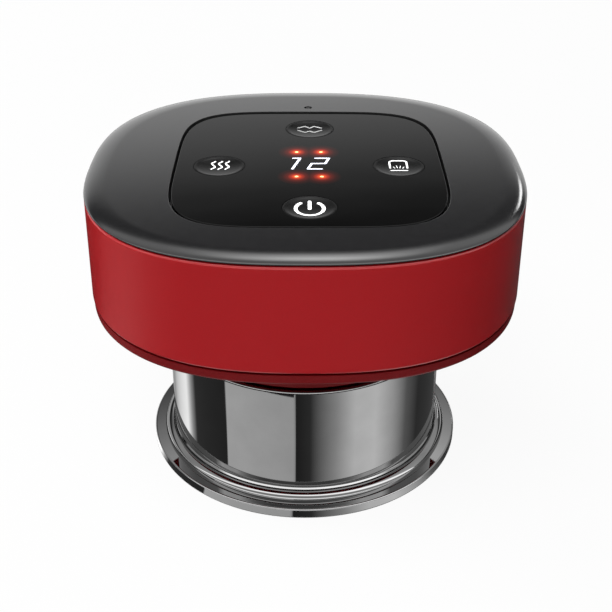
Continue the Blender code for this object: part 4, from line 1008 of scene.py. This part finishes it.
def makeFloor():
    # matt white table: plain paper for light, near white where the camera sees it, and fading
    # to pure white away from the object so that its far edge doesn't show
    material, tree, shader = newMaterial("palePaperFloor")
    shader.inputs["Base Color"].default_value = linear(studio["floorColor"])
    shader.inputs["Roughness"].default_value = studio["roughness"]
    shader.inputs["Specular IOR Level"].default_value = 0.0
    rays = addNode(tree, "LightPath").outputs["Is Camera Ray"]
    place = addNode(tree, "TexCoord").outputs["Object"]
    away = addNode(tree, "VectorMath", {"operation": "LENGTH"}, {0: place})
    ends = dict(zip(rangeEnds, (*studio["fade"], *studio["floorGlow"])))
    glow = addNode(tree, "MapRange", links={"Value": away.outputs["Value"]}, values=ends)
    seen = addNode(tree, "Math", {"operation": "MULTIPLY"}, {0: rays, 1: glow.outputs["Result"]})
    white = addNode(tree, "Emission", values={"Color": grey(1.0), "Strength": 1.0})
    both = {0: seen.outputs[0], 1: shader.outputs["BSDF"], 2: white.outputs["Emission"]}
    mix = addNode(tree, "MixShader", links=both)
    tree.links.new(mix.outputs["Shader"], tree.nodes["Material Output"].inputs["Surface"])
    bm = bmesh.new()
    squares = studio["squares"]
    bmesh.ops.create_grid(bm, x_segments=squares, y_segments=squares, size=studio["floorSize"] / 2)
    addMesh("floor", bm, material)


view = {
    "distance": 222.59 * mm,
    "elevation": 29.903,
    "turn": -0.349,
    "roll": 0.203,
    "aim": (0.241 * mm, 0, 28.2 * mm),
    "lens": 65.42,
    "sensor": 36,
    "nearest": 10 * mm,
}


def turnedAbout(degrees):
    return Matrix.Rotation(math.radians(degrees), 3, "Z")


def cameraPlace():
    rise = math.radians(view["elevation"])
    back = Vector((0, -math.cos(rise), math.sin(rise))) * view["distance"]
    return turnedAbout(view["turn"]) @ (Vector(view["aim"]) + back)


# striped reflector on the table round the front of the cup, which only mirrors see. Its stripes run
# along the lines that the camera's rays take off the cup's wall, so each is seen upright in the
# chrome. Each stop is a place on the wall, in degrees from the front with the left side negative,
# and how bright the reflector is there
cupReflector = {
    "steps": 192,
    "inner": 31.4 * mm,
    "height": 0.2 * mm,
    "strength": 4.0,
    "reach": 42 * mm,
    "board": ((-33.1, 39.0 * mm), (-4.1, 35.3 * mm)),
    "stops": [
        (-84, 0.40),
        (-73, 0.45),
        (-58, 2.30),
        (-54, 0.75),
        (-51, 0.08),
        (-33.2, 0.055),
        (-33.0, 1.18),
        (-4.2, 1.02),
        (-4.0, 0.04),
        (2, 0.08),
        (12, 0.76),
        (20, 1.48),
        (29, 1.60),
        (37, 1.00),
        (45, 0.27),
        (53, 0.07),
        (72, 0.08),
    ],
}
# grey paper round it, whose brightness goes by the direction from the cup
farReflector = {
    "steps": 128,
    "inner": 57 * mm,
    "outer": 420 * mm,
    "height": 0.1 * mm,
    "strength": 1.0,
    "stops": [
        (-180, 0.05),
        (-135, 0.02),
        (-114, 0.02),
        (-94, 0.16),
        (-76, 0.28),
        (-60, 0.14),
        (-44, 0.03),
        (0, 0.03),
        (70, 0.02),
        (120, 0.05),
        (180, 0.05),
    ],
}


def stageCard(name, bm, material):
    # a card that only mirrors see
    card = addMesh(name, bm, material)
    card.visible_camera = False
    card.visible_diffuse = False
    card.visible_shadow = False
    card.visible_transmission = False


def makeCard(name, facts, lineAt):
    # a flat ring of quads between the two ends of each line, its ramp running across the lines
    first, last = facts["stops"][0][0], facts["stops"][-1][0]
    material, tree, shader = newMaterial(name + "Paper")
    place = addNode(tree, "TexCoord").outputs["UV"]
    across = addNode(tree, "SeparateXYZ", links={0: place}).outputs["X"]
    strength = facts["strength"]
    stops = [((angle - first) / (last - first), grey(level / strength)) for angle, level in facts["stops"]]
    ramp = addNode(tree, "ValToRGB", links={"Fac": across}, stops=stops)
    glow = addNode(tree, "Emission", links={"Color": ramp.outputs[0]}, values={"Strength": strength})
    showInstead(tree, glow.outputs["Emission"])
    bm = bmesh.new()
    uv = bm.loops.layers.uv.new("across")
    previous = None
    for step in range(facts["steps"] + 1):
        share = step / facts["steps"]
        ends = lineAt(facts, first + (last - first) * share)
        pair = [bm.verts.new((x, y, facts["height"])) for x, y in ends]
        if previous:
            face = bm.faces.new((previous[0], previous[1], pair[1], pair[0]))
            for loop, place in zip(face.loops, (share - 1 / facts["steps"],) * 2 + (share,) * 2):
                loop[uv].uv = (place, 0)
        previous = pair
    stageCard(name, bm, material)


def rayOffCup(facts, angle):
    # where a camera ray that meets the cup's wall at this angle runs over the table
    turned = math.radians(angle)
    normal = Vector((math.sin(turned), -math.cos(turned)))
    start = normal * cup["wall"]
    toCamera = (cameraPlace().xy - start).normalized()
    ray = 2 * toCamera.dot(normal) * normal - toCamera
    along = start.dot(ray)
    nearest = -along + math.sqrt(along**2 + facts["inner"] ** 2 - start.length_squared)
    (left, longest), (right, shortest) = facts["board"]
    reach = facts["reach"]
    if left < angle < right:
        reach = longest + (shortest - longest) * (angle - left) / (right - left)
    return start + ray * nearest, start + ray * reach


def rayFromMiddle(facts, angle):
    turned = math.radians(angle)
    ray = Vector((math.sin(turned), -math.cos(turned)))
    return ray * facts["inner"], ray * facts["outer"]


# a bright upright board far behind on the right, the hot line on the bezel's right edge
edgeBoard = {
    "corners": [(176 * mm, 209 * mm), (200 * mm, 209 * mm), (226 * mm, 280 * mm), (202 * mm, 280 * mm)],
    "back": 400 * mm,
    "strength": 5.0,
}


def makeEdgeBoard():
    material, tree, shader = newMaterial("edgeBoardPaper")
    glow = addNode(tree, "Emission", values={"Color": grey(1.0), "Strength": edgeBoard["strength"]})
    showInstead(tree, glow.outputs["Emission"])
    bm = bmesh.new()
    bm.faces.new([bm.verts.new((x, edgeBoard["back"], z)) for x, z in edgeBoard["corners"]])
    stageCard("edgeBoard", bm, material)


# what mirrors see above the table: brightness by angle, from the horizon behind the object (0)
# over its top (90) to the horizon in front of it (180), and how it falls off from left to right
surround = {
    "strength": 4.0,
    "stops": [
        (0, 1.0),
        (15, 0.80),
        (19, 0.64),
        (21.5, 0.42),
        (24, 0.13),
        (26, 0.02),
        (31, 0.02),
        (34, 0.12),
        (38, 0.60),
        (48, 0.70),
        (60, 0.60),
        (98, 0.80),
        (108, 3.0),
        (124, 2.8),
        (132, 1.0),
        (138, 0.4),
        (150, 0.5),
        (162, 0.9),
        (172, 2.8),
        (180, 2.2),
    ],
    "board": [(31, 0), (35, 0.5), (40, 1.5), (46, 3.3), (52, 2.7), (60, 0.5), (75, 0)],
    "boardAcross": [(-0.2, 0), (-0.14, 0.12), (-0.06, 0.6), (0, 1), (0.04, 1), (0.14, 0.3), (0.2, 0)],
    "left": 1.02,
    "right": 1.2,
    "tilt": 0.10,
    "fill": 0.22,
    "seen": 1.0,
}


def makeWorld():
    world = bpy.data.worlds.new("studio")
    bpy.context.scene.world = world
    world.use_nodes = True
    tree = world.node_tree
    tree.nodes.clear()
    strength = surround["strength"]
    rays = addNode(tree, "LightPath").outputs
    direction = addNode(tree, "TexCoord").outputs["Generated"]
    parts = addNode(tree, "SeparateXYZ", links={"Vector": direction}).outputs
    # the sweep leans a little, so the sheen on the panel fades from its far left corner
    tilted = {0: parts["X"], 2: parts["Z"]}
    lean = addNode(tree, "Math", {"operation": "MULTIPLY_ADD"}, tilted, {1: surround["tilt"]})
    angle = addNode(tree, "Math", {"operation": "ARCTAN2"}, {0: lean.outputs[0], 1: parts["Y"]})
    turn = addNode(tree, "Math", {"operation": "DIVIDE"}, {0: angle.outputs[0]}, {1: math.pi})
    # the board is a small one over the front, which makes the light band on the bezel's near edge
    ramps = []
    for name in ("stops", "board"):
        stops = [(place / 180, grey(level / strength)) for place, level in surround[name]]
        ramps.append(addNode(tree, "ValToRGB", links={"Fac": turn.outputs[0]}, stops=stops))
    ends = dict(zip(rangeEnds, (-1, 1, surround["left"] * strength, surround["right"] * strength)))
    side = addNode(tree, "MapRange", links={"Value": parts["X"]}, values=ends)
    share = addNode(tree, "MapRange", links={"Value": parts["X"]}, values={"From Min": -1})
    stops = [((place + 1) / 2, grey(level)) for place, level in surround["boardAcross"]]
    across = addNode(tree, "ValToRGB", links={"Fac": share.outputs["Result"]}, stops=stops)
    power = addNode(tree, "Math", {"operation": "MULTIPLY"}, {0: across.outputs["Color"]}, {1: strength})
    broad, narrow = [
        addNode(tree, "Background", links={"Color": ramp.outputs["Color"], "Strength": level})
        for ramp, level in zip(ramps, (side.outputs["Result"], power.outputs[0]))
    ]
    mirrored = addNode(tree, "AddShader", links={0: broad.outputs[0], 1: narrow.outputs[0]})
    fill, white = [
        addNode(tree, "Background", values={"Color": grey(1.0), "Strength": level})
        for level in (surround["fill"], surround["seen"])
    ]
    both = {0: rays["Is Glossy Ray"], 1: fill.outputs[0], 2: mirrored.outputs[0]}
    lit = addNode(tree, "MixShader", links=both)
    either = {0: rays["Is Camera Ray"], 1: rays["Is Transmission Ray"]}
    seenBy = addNode(tree, "Math", {"operation": "MAXIMUM"}, either)
    seen = addNode(tree, "MixShader", links={0: seenBy.outputs[0], 1: lit.outputs[0], 2: white.outputs[0]})
    addNode(tree, "OutputWorld", links={"Surface": seen.outputs["Shader"]})


# soft lamps: where each stands, how wide and tall it is, and its power. Mirrors see the surround instead
lamps = {
    "topSoftbox": ((-0.20, -0.30, 0.85), 0.60, 0.60, 10.0),
    "frontSoftbox": ((-0.10, -0.88, 0.34), 0.40, 0.50, 2.5),
    "backLeftSoftbox": ((-0.80, 0.36, 0.30), 0.40, 0.50, 8.5),
}
lampAim = (0, 0, 0.04)


def makeLamps():
    for name, (place, width, height, power) in lamps.items():
        light = bpy.data.lights.new(name, "AREA")
        light.shape = "RECTANGLE"
        light.size = width
        light.size_y = height
        light.energy = power
        lamp = bpy.data.objects.new(name, light)
        lamp.location = place
        lamp.rotation_euler = (Vector(lampAim) - Vector(place)).to_track_quat("-Z", "Y").to_euler()
        lamp.visible_glossy = False
        bpy.context.collection.objects.link(lamp)


def makeCamera():
    data = bpy.data.cameras.new("photoCamera")
    data.lens = view["lens"]
    data.sensor_width = view["sensor"]
    data.clip_start = view["nearest"]
    camera = bpy.data.objects.new("photoCamera", data)
    camera.location = cameraPlace()
    aim = turnedAbout(view["turn"]) @ Vector(view["aim"])
    facing = (aim - camera.location).to_track_quat("-Z", "Y").to_matrix()
    camera.rotation_euler = (facing @ turnedAbout(view["roll"])).to_euler()
    bpy.context.collection.objects.link(camera)
    bpy.context.scene.camera = camera


# build
bpy.context.scene.view_settings.view_transform = "Standard"
made = {name: makeFinish(name, facts) for name, facts in finishes.items()}
for part in frame["record"]["subparts"]:
    mesh = nodes[part["node"]].data
    mesh.materials.clear()
    mesh.materials.append(made[slotFinishes[part["material_slot"]]])
nodes["charge_light_pipe"].data.materials[0] = made["smokedAcrylicLightPipe"]
print("materials made")

makeShell(made["sprayedPearlRedOnAbs"])
makeBezel(made["sprayedGunmetalOnAbs"], made["paintedShadeBlackAbs"])
makePanel(made["polishedSmokedAcrylic"])
makeKeys(made["polishedBlackKeyCap"])
makeCup(made["platedSmokedChrome"])
makeBase(made["mouldedDarkRedAbs"])
makeSpring(made["drawnNickelPlatedSteel"])
print("shells, keys and cup made")

makeKeyPrints(made["backlitWhitePrint"], made["greyPrintWithPaintedGlow"])
makeDigits(made["coolWhiteDisplaySegment"])
makeLedGlow(made["hotLampCore"])
print("prints and lights made")

makeFloor()
makeCard("cupReflector", cupReflector, rayOffCup)
makeCard("farReflector", farReflector, rayFromMiddle)
makeEdgeBoard()
makeWorld()
makeLamps()
makeCamera()
print("studio made")
